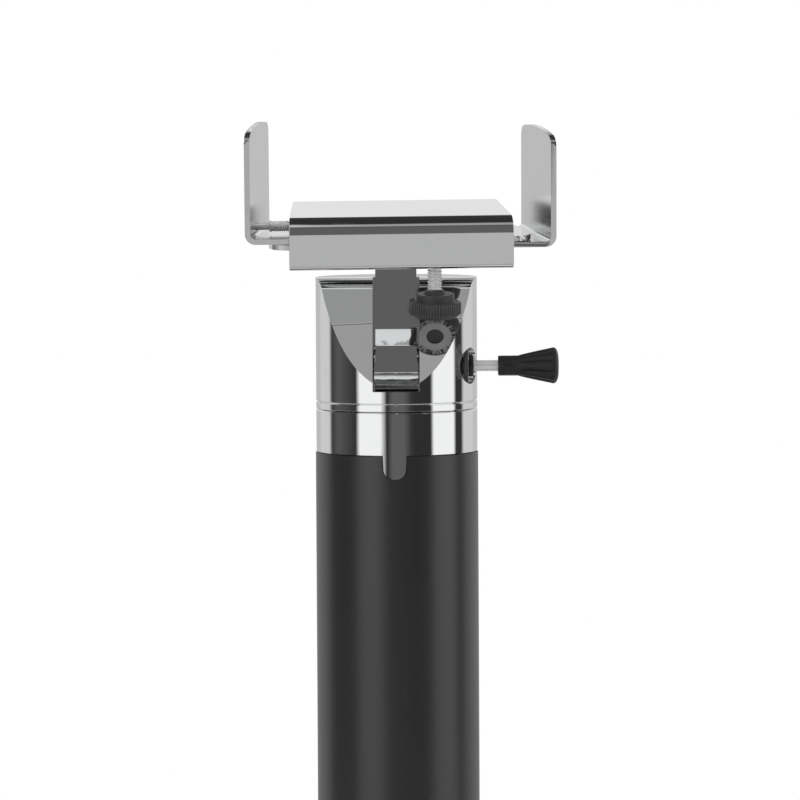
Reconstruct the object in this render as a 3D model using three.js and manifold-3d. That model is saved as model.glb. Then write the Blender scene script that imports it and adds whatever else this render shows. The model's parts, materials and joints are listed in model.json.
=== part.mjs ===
// A bench stand with a tilting, swivelling two-jaw cradle: a round column on a weighted base carries
// a chromed head, whose arm tilts and holds a channel with two sliding brackets.
// Millimetres, +Z up, origin at the centre of the base's footprint, front along -Y.
import * as THREE from 'three';
import { mergeVertices } from 'three/addons/utils/BufferGeometryUtils.js';
import Module from 'manifold-3d';

const wasm = await Module();
wasm.setup();

// ---- Driving dimensions ----------------------------------------------------------------------
const GAP = 0.3; // clearance between pieces that touch
const HOLE_PLAY = 0.3; // radial clearance of a hole on its screw or pin

const BASE_RADIUS = 100;
const BASE_THICKNESS = 12;
const BASE_EDGE = 3;
const FOOT_RADIUS = 9;
const FOOT_HEIGHT = 3;
const FOOT_CIRCLE = BASE_RADIUS - 16;
const FOOT_COUNT = 4;

const TUBE_RADIUS = 35;
const TUBE_WALL = 2.5;
const TUBE_LENGTH = 260;
const PLUG_HEIGHT = 18;
const PLUG_SCREW_CIRCLE = 20;
const PLUG_SCREW_COUNT = 3;
const TUBE_SCREW_ANGLE = 40; // each side of straight back, degrees

const HEAD_RADIUS = TUBE_RADIUS - GAP;
const RING_HEIGHT = 18.1;
const RING_WALL = 8.7;
const RING_WEB = 6;
const SPIGOT_LENGTH = 15;
const KEY_WIDTH = 10.7;
const KEY_DEPTH = 9.9;
const KEY_CORNER = 4.2;
const KEY_DRAFT = 0.8; // each side narrower at the bottom
const KEY_ANGLE = -1.2; // degrees from straight ahead, towards the left
const SWIVEL_RADIUS = 5;
const GLIDE_THICKNESS = 0.5;
const GLIDE_RADIUS = HEAD_RADIUS - 5.7;

const COLLAR_HEIGHT = 56.4;
const SCOOP_START = 9.4; // height above the seam where the inclined face leaves the front
const SCOOP_SLOPE = 0.487; // how far back the inclined face goes for each mm up
const SCOOP_FLARE = 5; // height of the flared lip at the top
const SCOOP_FLARE_BACK = 6.2; // how much further back the lip goes
const SLOT_WIDTH = 20;
const SLOT_FLOOR = 8.6;
const GROOVE_HEIGHT = 3.2;
const GROOVE_SIZE = 0.5;
const SLIT_WIDTH = 0.6;

const HINGE_Y = 20.7 - HEAD_RADIUS; // set back from the head's front
const HINGE_HEIGHT = 18.6; // above the seam
const BARREL_RADIUS = 9.3;
const BARREL_FACE = 9.05; // flat on the barrel's front, ahead of the hinge axis
const BARREL_WIDTH = 18.8;
const ARM_WIDTH = 17.6;
const ARM_FRONT = 4; // front face ahead of the hinge axis
const ARM_BACK = 6; // back face behind the hinge axis
const FRICTION_RADIUS = 7; // washers let into the barrel's ends
const CLAMP_RADIUS = 3; // screw that is also the hinge pin
const CLAMP_SHAFT_RADIUS = 2.3;
const THRUST_RADIUS = 7.35;
const THRUST_FACE = HEAD_RADIUS - 6.1; // seat of the thrust washer, from the column's axis
const THRUST_THICKNESS = 1.9;
const BUSHING_RADIUS = 4.6;
const BUSHING_LENGTH = 2;
const CLAMP_KNOB_START = HEAD_RADIUS + 8.8;
const CLAMP_KNOB_LENGTH = 26;
const CLAMP_KNOB_NECK = 4.3;
const CLAMP_KNOB_END = 7.75;
const CLAMP_KNOB_FLUTES = 8;

const CHANNEL_LENGTH = 95;
const CHANNEL_DEPTH = 56;
const CHANNEL_WALL = 2;
const CHANNEL_FRONT_BEND = 7;
const CHANNEL_BEND = 2.4;
const CHANNEL_TAPER = 3.8; // degrees at each end
const CHANNEL_SLOPE = 7; // degrees, front edge low
const CHANNEL_TURN = 3.4; // degrees round its own upright, right end back
const CHANNEL_OFFSET = 1.1; // to the right of the column's axis
const CHANNEL_RISE = 7.7; // channel's underside above the collar's top, at the arm

const SHEET = 2.3; // bracket sheet
const LEG_HEIGHT = 8; // lower leg's underside above the channel's underside
const CHANNEL_HEIGHT = LEG_HEIGHT + 2 * SHEET + 9.4; // leaves the stop rod its room over the legs
const JAW_DEPTH = 44;
const JAW_HEIGHT = 48.7;
const JAW_CROWN = 2.4; // how much lower the plate's top is at its edges
const JAW_CORNER = 4.5;
const JAW_BEND = 4.5;
const JAW_YAW = 12; // degrees, back edges closer together
const JAW_REACH = 61.3; // plate's outer face from the channel's centre, at mid depth
const LEG_END = 52.8; // leg's tip past the channel's centre, at mid depth
const LEG_CORNER = 8;
const JAW_OPEN = 36;
const JAW_CLOSE = 2;

const GUIDE_HALF = 32;
const GUIDE_TOP_FRONT = -20;
const ROD_RADIUS = 2.4;
const ROD_Y = -7.5;
const ROD_CORE = 2; // where it carries the stop collar
const STOP_RADIUS = 3.1;
const STOP_LENGTH = 4;
const STOP_WALL = 6; // end of the upper guide that the stop collar meets
const ROD_NECK = 1.5; // where it enters the bracket's plate
const ROD_NECK_LENGTH = 5.4;
const PIN_RADIUS = 2;
const PIN_X = -20;
const PIN_Y = 10;

const THUMB_X = 14.3;
const THUMB_Y = -21;
const THUMB_RADIUS = 3.175;
const THUMB_DROP = 9.9; // bare thread under the channel
const THUMB_HUB_RADIUS = 8.4;
const THUMB_HUB_HEIGHT = 3.3;
const THUMB_CONE_HEIGHT = 1.5;
const THUMB_CONE_RADIUS = 4.75;
const THUMB_RIM_RADIUS = 11.2;
const THUMB_RIM_HEIGHT = 6.9;
const THUMB_TEETH = 30;
const NUT_HEIGHT = 2.8;
const SHOE_HEIGHT = 1.2;

// ---- Heights and places worked out from them ---------------------------------------------------
const BASE_TOP = FOOT_HEIGHT + BASE_THICKNESS;
const TUBE_BOTTOM = BASE_TOP + GAP;
const TUBE_TOP = TUBE_BOTTOM + TUBE_LENGTH;
const TUBE_BORE = TUBE_RADIUS - TUBE_WALL;
const SPIGOT_RADIUS = TUBE_BORE - GAP;
const RING_BOTTOM = TUBE_TOP + GAP;
const RING_TOP = RING_BOTTOM + RING_HEIGHT;
const SEAM = RING_TOP + GAP;
const COLLAR_TOP = SEAM + COLLAR_HEIGHT;
const HINGE_Z = SEAM + HINGE_HEIGHT;
const SLOT_HALF = SLOT_WIDTH / 2;
const SLOT_BACK = HINGE_Y + BARREL_RADIUS + 2 * GAP;
const ARM_HALF = ARM_WIDTH / 2;
const CHANNEL_Z = COLLAR_TOP + CHANNEL_RISE;
const CHANNEL_HALF = CHANNEL_DEPTH / 2;
const GUIDE_Y = CHANNEL_HALF - CHANNEL_WALL - GAP;
const LOWER_LEG = LEG_HEIGHT;
const UPPER_LEG = LEG_HEIGHT + SHEET + GAP;
const LEGS_TOP = UPPER_LEG + SHEET;
const ROD_Z = LEGS_TOP + GAP + STOP_RADIUS + 0.1;
const CEILING = CHANNEL_HEIGHT - CHANNEL_WALL - GAP;
const FLOOR = CHANNEL_WALL + GAP;
const degrees = THREE.MathUtils.degToRad;

// ---- Finishes ----------------------------------------------------------------------------------
const finish = (color, roughness, metalness) =>
  new THREE.MeshStandardMaterial({ color, roughness, metalness });
const chrome = finish(0xdcdddf, 0.08, 1);
const steel = finish(0xb4b6b8, 0.3, 1);
const blackCoat = finish(0x1c1c1d, 0.55, 0);
const blackPlastic = finish(0x161616, 0.5, 0);
const blackMetal = finish(0x202022, 0.45, 0.8);
const rubber = finish(0x101010, 0.9, 0);
const nylon = finish(0xe4e1d8, 0.5, 0);
const brass = finish(0xb5923f, 0.35, 1);

// ---- Shape helpers -----------------------------------------------------------------------------
function solid(geometry) {
  const bare = geometry.clone();
  bare.deleteAttribute('normal');
  bare.deleteAttribute('uv');
  const merged = mergeVertices(bare, 1e-4);
  const index = merged.index.array;
  const triangles = [];
  for (let i = 0; i < index.length; i += 3) {
    const [a, b, c] = [index[i], index[i + 1], index[i + 2]];
    if (a !== b && b !== c && c !== a) triangles.push(a, b, c);
  }
  const vertProperties = new Float32Array(merged.attributes.position.array);
  const triVerts = new Uint32Array(triangles);
  return new wasm.Manifold(new wasm.Mesh({ numProp: 3, vertProperties, triVerts }));
}

function surface(body) {
  const mesh = body.getMesh();
  const geometry = new THREE.BufferGeometry();
  geometry.setAttribute('position', new THREE.BufferAttribute(mesh.vertProperties, 3));
  geometry.setIndex(new THREE.BufferAttribute(mesh.triVerts, 1));
  geometry.computeVertexNormals();
  return geometry;
}

// One geometry from a first shape, the shapes joined to it and the shapes cut from it.
function build(first, joined, cut) {
  let body = solid(first);
  for (const shape of joined) body = body.add(solid(shape));
  for (const shape of cut) body = body.subtract(solid(shape));
  return surface(body);
}

function common(first, ...others) {
  let body = solid(first);
  for (const shape of others) body = body.intersect(solid(shape));
  return surface(body);
}

// A turned shape about Z. The profile runs from the axis outwards, up and back to the axis.
function turned(profile, sides = 48) {
  const points = profile.map(([radius, height]) => new THREE.Vector2(radius, height));
  return new THREE.LatheGeometry(points, sides).rotateX(Math.PI / 2);
}

function rod(radius, low, high, sides = 20) {
  return turned([[0, low], [radius, low], [radius, high], [0, high]], sides);
}

// A ring about Z, closed on itself.
function ring(inner, outer, low, high, sides = 32) {
  return turned([[inner, low], [outer, low], [outer, high], [inner, high], [inner, low]], sides);
}

function block(x0, x1, y0, y1, z0, z1) {
  const box = new THREE.BoxGeometry(x1 - x0, y1 - y0, z1 - z0);
  return box.translate((x0 + x1) / 2, (y0 + y1) / 2, (z0 + z1) / 2);
}

function prism(shape, depth, curveSegments = 12) {
  return new THREE.ExtrudeGeometry(shape, { depth, bevelEnabled: false, curveSegments });
}

// Turns a shape made along +Z so that it lies along +X.
function alongX(geometry) {
  return geometry.rotateY(Math.PI / 2);
}

// A side outline drawn as (y, z), extruded across X about the middle.
function acrossX(shape, width, curveSegments) {
  const geometry = prism(shape, width, curveSegments).translate(0, 0, -width / 2);
  return geometry.applyMatrix4(new THREE.Matrix4().set(0, 0, 1, 0, 1, 0, 0, 0, 0, 1, 0, 0, 0, 0, 0, 1));
}

function outline(points) {
  return new THREE.Shape(points.map(([x, y]) => new THREE.Vector2(x, y)));
}

function hexagon(acrossFlats) {
  const corner = acrossFlats / Math.sqrt(3);
  const points = [];
  for (let i = 0; i < 6; i += 1) {
    const angle = (i * Math.PI) / 3 + Math.PI / 6;
    points.push([corner * Math.cos(angle), corner * Math.sin(angle)]);
  }
  return outline(points);
}

// A polygon with rounded corners; each point is [x, y, corner radius].
function roundedOutline(points) {
  const shape = new THREE.Shape();
  points.forEach(([x, y, radius], i) => {
    const [px, py] = points[(i + points.length - 1) % points.length];
    const [nx, ny] = points[(i + 1) % points.length];
    const before = new THREE.Vector2(px - x, py - y).normalize();
    const after = new THREE.Vector2(nx - x, ny - y).normalize();
    const half = Math.acos(THREE.MathUtils.clamp(before.dot(after), -1, 1)) / 2;
    const reach = radius / Math.tan(half);
    const start = [x + before.x * reach, y + before.y * reach];
    if (i === 0) shape.moveTo(...start);
    else shape.lineTo(...start);
    if (radius > 0) {
      const toCentre = before.clone().add(after).normalize().multiplyScalar(radius / Math.sin(half));
      const centre = [x + toCentre.x, y + toCentre.y];
      const end = [x + after.x * reach, y + after.y * reach];
      const from = Math.atan2(start[1] - centre[1], start[0] - centre[0]);
      const to = Math.atan2(end[1] - centre[1], end[0] - centre[0]);
      const turn = Math.atan2(Math.sin(to - from), Math.cos(to - from));
      shape.absarc(...centre, radius, from, from + turn, turn < 0);
    }
  });
  shape.closePath();
  return shape;
}

// A machine screw along -Z, its head's seat at z = 0, with a hexagon socket.
function socketScrew(radius, length, headRadius, headHeight, socket) {
  const chamfer = 0.12 * headHeight;
  const body = turned([
    [0, -length],
    [radius * 0.8, -length],
    [radius, -length + radius * 0.2],
    [radius, 0],
    [headRadius, 0],
    [headRadius, headHeight - chamfer],
    [headRadius - chamfer, headHeight],
    [0, headHeight],
  ], 18);
  const recess = prism(hexagon(socket), headHeight).translate(0, 0, 0.45 * headHeight);
  return build(body, [], [recess]);
}

function place(group, name, geometry, material) {
  const mesh = new THREE.Mesh(geometry, material);
  mesh.name = name;
  group.add(mesh);
  return mesh;
}

const stand = new THREE.Group();
const cradle = new THREE.Group();
cradle.position.set(CHANNEL_OFFSET, HINGE_Y, CHANNEL_Z);
cradle.rotation.set(degrees(CHANNEL_SLOPE), 0, degrees(CHANNEL_TURN));
stand.add(cradle);

// ---- Base plate, feet and their screws -----------------------------------------------------------
const FOOT_SCREW = 2;
const FOOT_SCREW_LENGTH = 7;
const FOOT_SCREW_HEAD = 3.6;
const FOOT_SCREW_HEAD_HEIGHT = 1.3;
const FOOT_WEB = 1.2; // rubber between the screw's head and the plate
const PLUG_SCREW = 3;
const PLUG_SCREW_HEAD = 5;
const PLUG_SCREW_HEAD_HEIGHT = 4;
const PLUG_SCREW_SEAT = FOOT_HEIGHT + 5.5;
const PLUG_SCREW_REACH = 10; // thread inside the plug

function aroundAxis(count, radius, phase) {
  const places = [];
  for (let i = 0; i < count; i += 1) {
    const angle = degrees(phase + (360 * i) / count);
    places.push([radius * Math.cos(angle), radius * Math.sin(angle)]);
  }
  return places;
}

const footPlaces = aroundAxis(FOOT_COUNT, FOOT_CIRCLE, 45);
const plugPlaces = aroundAxis(PLUG_SCREW_COUNT, PLUG_SCREW_CIRCLE, 90);

const footHoles = footPlaces.map(([x, y]) =>
  rod(FOOT_SCREW + HOLE_PLAY, FOOT_HEIGHT - 1, FOOT_HEIGHT + FOOT_SCREW_LENGTH, 12).translate(x, y, 0));
const plugHoles = plugPlaces.map(([x, y]) =>
  turned([
    [0, FOOT_HEIGHT - 1],
    [PLUG_SCREW_HEAD + 0.5, FOOT_HEIGHT - 1],
    [PLUG_SCREW_HEAD + 0.5, PLUG_SCREW_SEAT],
    [PLUG_SCREW + HOLE_PLAY, PLUG_SCREW_SEAT],
    [PLUG_SCREW + HOLE_PLAY, BASE_TOP + 1],
    [0, BASE_TOP + 1],
  ], 16).translate(x, y, 0));
const basePlate = turned([
  [0, FOOT_HEIGHT],
  [BASE_RADIUS - 1, FOOT_HEIGHT],
  [BASE_RADIUS, FOOT_HEIGHT + 1],
  [BASE_RADIUS, BASE_TOP - BASE_EDGE],
  [BASE_RADIUS - 0.13 * BASE_EDGE, BASE_TOP - 0.5 * BASE_EDGE],
  [BASE_RADIUS - 0.5 * BASE_EDGE, BASE_TOP - 0.13 * BASE_EDGE],
  [BASE_RADIUS - BASE_EDGE, BASE_TOP],
  [0, BASE_TOP],
], 64);
place(stand, 'base_plate', build(basePlate, [], [...footHoles, ...plugHoles]), blackCoat);

footPlaces.forEach(([x, y], i) => {
  const seat = FOOT_HEIGHT - GAP - FOOT_WEB;
  const foot = turned([
    [FOOT_SCREW + HOLE_PLAY, seat],
    [FOOT_SCREW_HEAD + 0.4, seat],
    [FOOT_SCREW_HEAD + 0.4, 0],
    [FOOT_RADIUS - 0.8, 0],
    [FOOT_RADIUS, 0.8],
    [FOOT_RADIUS, FOOT_HEIGHT - GAP],
    [FOOT_SCREW + HOLE_PLAY, FOOT_HEIGHT - GAP],
    [FOOT_SCREW + HOLE_PLAY, seat],
  ], 24);
  const screw = socketScrew(FOOT_SCREW, FOOT_SCREW_LENGTH, FOOT_SCREW_HEAD, FOOT_SCREW_HEAD_HEIGHT, 2);
  screw.rotateX(Math.PI).translate(x, y, seat - 0.05);
  place(stand, `foot_${i + 1}`, foot.translate(x, y, 0), rubber);
  place(stand, `foot_screw_${i + 1}`, screw, steel);
});

// ---- Plug that the tube stands over, held from below ---------------------------------------------
const PLUG_TOP = TUBE_BOTTOM + PLUG_HEIGHT;
const TUBE_SCREW = 2.5;
const TUBE_SCREW_LENGTH = 11;
const LOWER_SCREW_TIP = SPIGOT_RADIUS - TUBE_SCREW_LENGTH + 0.8;
const LOWER_SCREW_Z = TUBE_BOTTOM + PLUG_HEIGHT / 2;
const UPPER_SCREW_Z = TUBE_TOP - SPIGOT_LENGTH / 2;
const rearAngles = [90 - TUBE_SCREW_ANGLE, 90 + TUBE_SCREW_ANGLE];

// A round cutter along the radius at an angle, from one radius to another.
function radial(radius, from, to, angle, height) {
  return alongX(rod(radius, from, to, 16)).rotateZ(degrees(angle)).translate(0, 0, height);
}

const plugScrewHoles = plugPlaces.map(([x, y]) =>
  rod(PLUG_SCREW + HOLE_PLAY, TUBE_BOTTOM - 1, TUBE_BOTTOM + PLUG_SCREW_REACH + 1, 16).translate(x, y, 0));
const lowerHoles = rearAngles.map((angle) =>
  radial(TUBE_SCREW + HOLE_PLAY, SPIGOT_RADIUS - TUBE_SCREW_LENGTH, TUBE_RADIUS + 5, angle, LOWER_SCREW_Z));
const upperHoles = rearAngles.map((angle) =>
  radial(TUBE_SCREW + HOLE_PLAY, HEAD_RADIUS - RING_WALL - 4, TUBE_RADIUS + 5, angle, UPPER_SCREW_Z));
const plugBody = turned([
  [0, TUBE_BOTTOM],
  [SPIGOT_RADIUS, TUBE_BOTTOM],
  [SPIGOT_RADIUS, PLUG_TOP - 1],
  [SPIGOT_RADIUS - 1, PLUG_TOP],
  [0, PLUG_TOP],
], 48);
place(stand, 'column_plug', build(plugBody, [], [...plugScrewHoles, ...lowerHoles]), blackMetal);
plugPlaces.forEach(([x, y], i) => {
  const length = TUBE_BOTTOM + PLUG_SCREW_REACH - PLUG_SCREW_SEAT;
  const screw = socketScrew(PLUG_SCREW, length, PLUG_SCREW_HEAD, PLUG_SCREW_HEAD_HEIGHT, 5);
  screw.rotateX(Math.PI).translate(x, y, PLUG_SCREW_SEAT - GAP);
  place(stand, `plug_screw_${i + 1}`, screw, steel);
});

// ---- Column tube, notched at the top for the key, and the screws that hold its ends --------------
// The key's outline, hanging down from its root; x across, y down.
function keyOutline(width, depth, corner, root) {
  const half = width / 2;
  const low = half - KEY_DRAFT;
  return roundedOutline([[-half, root, 0], [-low, -depth, corner], [low, -depth, corner], [half, root, 0]]);
}

// Cuts or keys at the front are extruded towards the front and turned to the key's angle.
function keyPrism(shape, inner, outer) {
  return prism(shape, outer - inner, 6)
    .rotateX(Math.PI / 2)
    .translate(0, -inner, TUBE_TOP)
    .rotateZ(degrees(KEY_ANGLE));
}

const notchShape = keyOutline(KEY_WIDTH + 2 * GAP, KEY_DEPTH + GAP, KEY_CORNER + GAP, 2);
const notch = keyPrism(notchShape, TUBE_BORE - 4, TUBE_RADIUS + 2);
const tubeBody = ring(TUBE_BORE, TUBE_RADIUS, TUBE_BOTTOM, TUBE_TOP, 72);
place(stand, 'column_tube', build(tubeBody, [], [notch, ...lowerHoles, ...upperHoles]), blackCoat);
for (const [level, height] of [['lower', LOWER_SCREW_Z], ['upper', UPPER_SCREW_Z]]) {
  rearAngles.forEach((angle, i) => {
    const reach = TUBE_RADIUS + GAP - (level === 'lower' ? LOWER_SCREW_TIP : HEAD_RADIUS - RING_WALL + 0.5);
    const screw = socketScrew(TUBE_SCREW, reach, 4.6, 2.4, 3);
    alongX(screw).translate(TUBE_RADIUS + GAP, 0, 0).rotateZ(degrees(angle)).translate(0, 0, height);
    place(stand, `tube_screw_${level}_${i + 1}`, screw, steel);
  });
}

// ---- Cap ring, keyed to the tube, with its spigot inside the bore --------------------------------
const WEB_BOTTOM = RING_TOP - RING_WEB;
const GLIDE_SEAT = RING_TOP - GLIDE_THICKNESS - GAP;
const RING_INNER = HEAD_RADIUS - RING_WALL;
const SPIGOT_BOTTOM = TUBE_TOP - SPIGOT_LENGTH;
const ringBody = turned([
  [SWIVEL_RADIUS + HOLE_PLAY, WEB_BOTTOM],
  [RING_INNER, WEB_BOTTOM],
  [RING_INNER, SPIGOT_BOTTOM],
  [SPIGOT_RADIUS - 1, SPIGOT_BOTTOM],
  [SPIGOT_RADIUS, SPIGOT_BOTTOM + 1],
  [SPIGOT_RADIUS, RING_BOTTOM],
  [HEAD_RADIUS, RING_BOTTOM],
  [HEAD_RADIUS, RING_TOP],
  [GLIDE_RADIUS + GAP, RING_TOP],
  [GLIDE_RADIUS + GAP, GLIDE_SEAT],
  [SWIVEL_RADIUS + HOLE_PLAY, GLIDE_SEAT],
  [SWIVEL_RADIUS + HOLE_PLAY, WEB_BOTTOM],
], 72);
const keyShape = keyOutline(KEY_WIDTH, KEY_DEPTH, KEY_CORNER, GAP + 1);
const keyBlank = keyPrism(keyShape, SPIGOT_RADIUS - 1.5, HEAD_RADIUS + 2);
const keyBody = common(keyBlank, ring(SPIGOT_RADIUS - 1.5, HEAD_RADIUS, SPIGOT_BOTTOM, RING_TOP, 72));
place(stand, 'cap_ring', build(ringBody, [keyBody], upperHoles), chrome);

// ---- Swivel bolt, from inside the ring up into the collar ----------------------------------------
const SWIVEL_WASHER = 1.6;
const SPRING_WASHER = 1.8;
const SWIVEL_HEAD = 6.4;
const SWIVEL_THREAD = 5.5; // thread inside the collar
const washerTop = WEB_BOTTOM - GAP;
const springTop = washerTop - SWIVEL_WASHER - GAP;
const headTop = springTop - SPRING_WASHER - GAP;
const swivelWasher = ring(SWIVEL_RADIUS + HOLE_PLAY, 12, washerTop - SWIVEL_WASHER, washerTop, 32);
place(stand, 'swivel_washer', swivelWasher, steel);
const springRing = ring(SWIVEL_RADIUS + HOLE_PLAY, 9, springTop - SPRING_WASHER, springTop, 32);
const springSplit = block(5, 10, -0.6, 0.6, springTop - SPRING_WASHER - 1, springTop + 1);
place(stand, 'spring_washer', build(springRing, [], [springSplit]), steel);
const boltHead = prism(hexagon(17), SWIVEL_HEAD).translate(0, 0, headTop - SWIVEL_HEAD);
const boltShank = rod(SWIVEL_RADIUS, headTop - 1, SEAM + SWIVEL_THREAD, 32);
place(stand, 'swivel_bolt', build(boltHead, [boltShank], []), steel);
const glide = ring(SWIVEL_RADIUS + 1, GLIDE_RADIUS, RING_TOP - GLIDE_THICKNESS, RING_TOP, 48);
place(stand, 'glide_washer', glide, nylon);

// ---- Head collar: a cylinder cut by an inclined face and slotted for the arm ---------------------
const TILT_NUT_FLATS = 10;
const TILT_NUT_HEIGHT = 5;
const collarBody = turned([
  [0, SEAM],
  [HEAD_RADIUS, SEAM],
  [HEAD_RADIUS, SEAM + GROOVE_HEIGHT - GROOVE_SIZE],
  [HEAD_RADIUS - GROOVE_SIZE, SEAM + GROOVE_HEIGHT],
  [HEAD_RADIUS, SEAM + GROOVE_HEIGHT + GROOVE_SIZE],
  [HEAD_RADIUS, COLLAR_TOP - 0.3],
  [HEAD_RADIUS - 0.3, COLLAR_TOP],
  [0, COLLAR_TOP],
], 80);
const scoopRise = COLLAR_HEIGHT - SCOOP_START;
const scoopStraight = scoopRise - SCOOP_FLARE;
const scoopStart = -HEAD_RADIUS;
const scoopShape = new THREE.Shape();
scoopShape.moveTo(scoopStart - 10, SEAM + SCOOP_START - 10 / SCOOP_SLOPE);
scoopShape.lineTo(scoopStart + SCOOP_SLOPE * scoopStraight, SEAM + SCOOP_START + scoopStraight);
scoopShape.quadraticCurveTo(
  scoopStart + SCOOP_SLOPE * (scoopRise - 0.2 * SCOOP_FLARE),
  COLLAR_TOP - 0.2 * SCOOP_FLARE,
  scoopStart + SCOOP_SLOPE * scoopRise + SCOOP_FLARE_BACK,
  COLLAR_TOP,
);
scoopShape.lineTo(scoopStart + SCOOP_SLOPE * scoopRise + SCOOP_FLARE_BACK, COLLAR_TOP + 5);
scoopShape.lineTo(scoopStart - 10, COLLAR_TOP + 5);
scoopShape.closePath();
const scoop = acrossX(scoopShape, 2 * HEAD_RADIUS + 4, 8);
const slot = block(-SLOT_HALF, SLOT_HALF, -HEAD_RADIUS - 5, SLOT_BACK, SEAM + SLOT_FLOOR, COLLAR_TOP + 5);
const slit = block(
  -SLIT_WIDTH / 2, SLIT_WIDTH / 2, -HEAD_RADIUS - 1, -HEAD_RADIUS + 1.6,
  SEAM + GROOVE_HEIGHT, SEAM + SLOT_FLOOR + 2,
);
const atHinge = (geometry) => alongX(geometry).translate(0, HINGE_Y, HINGE_Z);
const clampHole = atHinge(rod(CLAMP_RADIUS + HOLE_PLAY, -SLOT_HALF - 14, HEAD_RADIUS + 5, 24));
const thrustSeat = atHinge(rod(THRUST_RADIUS + 0.4, THRUST_FACE, HEAD_RADIUS + 5, 36));
const nutPocket = atHinge(
  prism(hexagon(TILT_NUT_FLATS + 2 * GAP), TILT_NUT_HEIGHT + 2).translate(0, 0, -SLOT_HALF - TILT_NUT_HEIGHT - GAP),
);
const swivelHole = rod(SWIVEL_RADIUS + HOLE_PLAY, SEAM - 1, SEAM + SWIVEL_THREAD + GAP, 32);
const collarCuts = [scoop, slot, slit, clampHole, thrustSeat, nutPocket, swivelHole];
place(stand, 'head_collar', build(collarBody, [], collarCuts), chrome);

const tiltNut = prism(hexagon(TILT_NUT_FLATS), TILT_NUT_HEIGHT).translate(0, 0, -SLOT_HALF - TILT_NUT_HEIGHT);
const nutBore = rod(CLAMP_RADIUS + HOLE_PLAY, -SLOT_HALF - TILT_NUT_HEIGHT - 1, -SLOT_HALF + 1, 32);
place(stand, 'tilt_nut', atHinge(build(tiltNut, [], [nutBore])), steel);
const washerGap = SLOT_HALF - ARM_HALF - 2 * GAP;
for (const [side, sign] of [['left', -1], ['right', 1]]) {
  const low = sign * (ARM_HALF + GAP);
  const high = sign * (ARM_HALF + GAP + washerGap);
  const washer = ring(CLAMP_RADIUS + HOLE_PLAY, FRICTION_RADIUS, Math.min(low, high), Math.max(low, high), 32);
  place(stand, `friction_washer_${side}`, atHinge(washer), blackMetal);
}

// ---- Tilt arm: a bar on a hinge barrel, its top cut to the channel's slope ------------------------
const slope = Math.tan(degrees(CHANNEL_SLOPE));
const armTop = (y) => CHANNEL_Z - GAP / Math.cos(degrees(CHANNEL_SLOPE)) + y * slope - HINGE_Z;
const backMeet = Math.sqrt(BARREL_RADIUS ** 2 - ARM_BACK ** 2);
const faceMeet = -Math.sqrt(BARREL_RADIUS ** 2 - BARREL_FACE ** 2);
const armShape = new THREE.Shape();
armShape.moveTo(ARM_BACK, backMeet);
armShape.absarc(
  0, 0, BARREL_RADIUS, Math.atan2(backMeet, ARM_BACK), Math.atan2(faceMeet, -BARREL_FACE), true,
);
armShape.lineTo(-BARREL_FACE, 0.7 * BARREL_RADIUS);
armShape.quadraticCurveTo(-BARREL_FACE, 0.93 * BARREL_RADIUS, -0.93 * BARREL_FACE, 1.02 * BARREL_RADIUS);
armShape.lineTo(-ARM_FRONT - 0.4, 1.7 * BARREL_RADIUS);
armShape.quadraticCurveTo(-ARM_FRONT, 1.76 * BARREL_RADIUS, -ARM_FRONT, 1.86 * BARREL_RADIUS);
armShape.lineTo(-ARM_FRONT, armTop(-ARM_FRONT));
armShape.lineTo(ARM_BACK, armTop(ARM_BACK));
armShape.closePath();
const armBody = acrossX(armShape, ARM_WIDTH, 14).translate(0, HINGE_Y, HINGE_Z);
const armBore = atHinge(rod(CLAMP_RADIUS + HOLE_PLAY, -ARM_WIDTH, ARM_WIDTH, 24));
const ARM_SCREW = 2.5;
const ARM_SCREW_HEAD = 4.2;
const ARM_SCREW_HEAD_HEIGHT = 2.4;
const ARM_SCREW_REACH = 11; // below the channel
const ARM_SCREW_SPREAD = 5; // each side of the arm's middle
const ARM_SCREW_Y = (ARM_BACK - ARM_FRONT) / 2;
const armScrewX = [-ARM_SCREW_SPREAD - CHANNEL_OFFSET, ARM_SCREW_SPREAD - CHANNEL_OFFSET];
cradle.updateMatrix();
const armHoles = armScrewX.map((x) =>
  rod(ARM_SCREW + HOLE_PLAY, -ARM_SCREW_REACH - 1, 2, 24)
    .translate(x, ARM_SCREW_Y, 0)
    .applyMatrix4(cradle.matrix));
const barrel = atHinge(rod(BARREL_RADIUS, -BARREL_WIDTH / 2, BARREL_WIDTH / 2, 56));
const barrelFlat = block(
  -BARREL_WIDTH, BARREL_WIDTH,
  HINGE_Y - 2 * BARREL_RADIUS, HINGE_Y - BARREL_FACE,
  HINGE_Z - 0.5 * BARREL_RADIUS, HINGE_Z + 0.5 * BARREL_RADIUS,
);
const washerSeats = [[-BARREL_WIDTH, -ARM_HALF], [ARM_HALF, BARREL_WIDTH]].map(([low, high]) =>
  atHinge(rod(FRICTION_RADIUS + GAP, low, high, 32)));
const armCuts = [barrelFlat, ...washerSeats, armBore, ...armHoles];
place(stand, 'tilt_arm', build(armBody, [barrel], armCuts), chrome);

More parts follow.
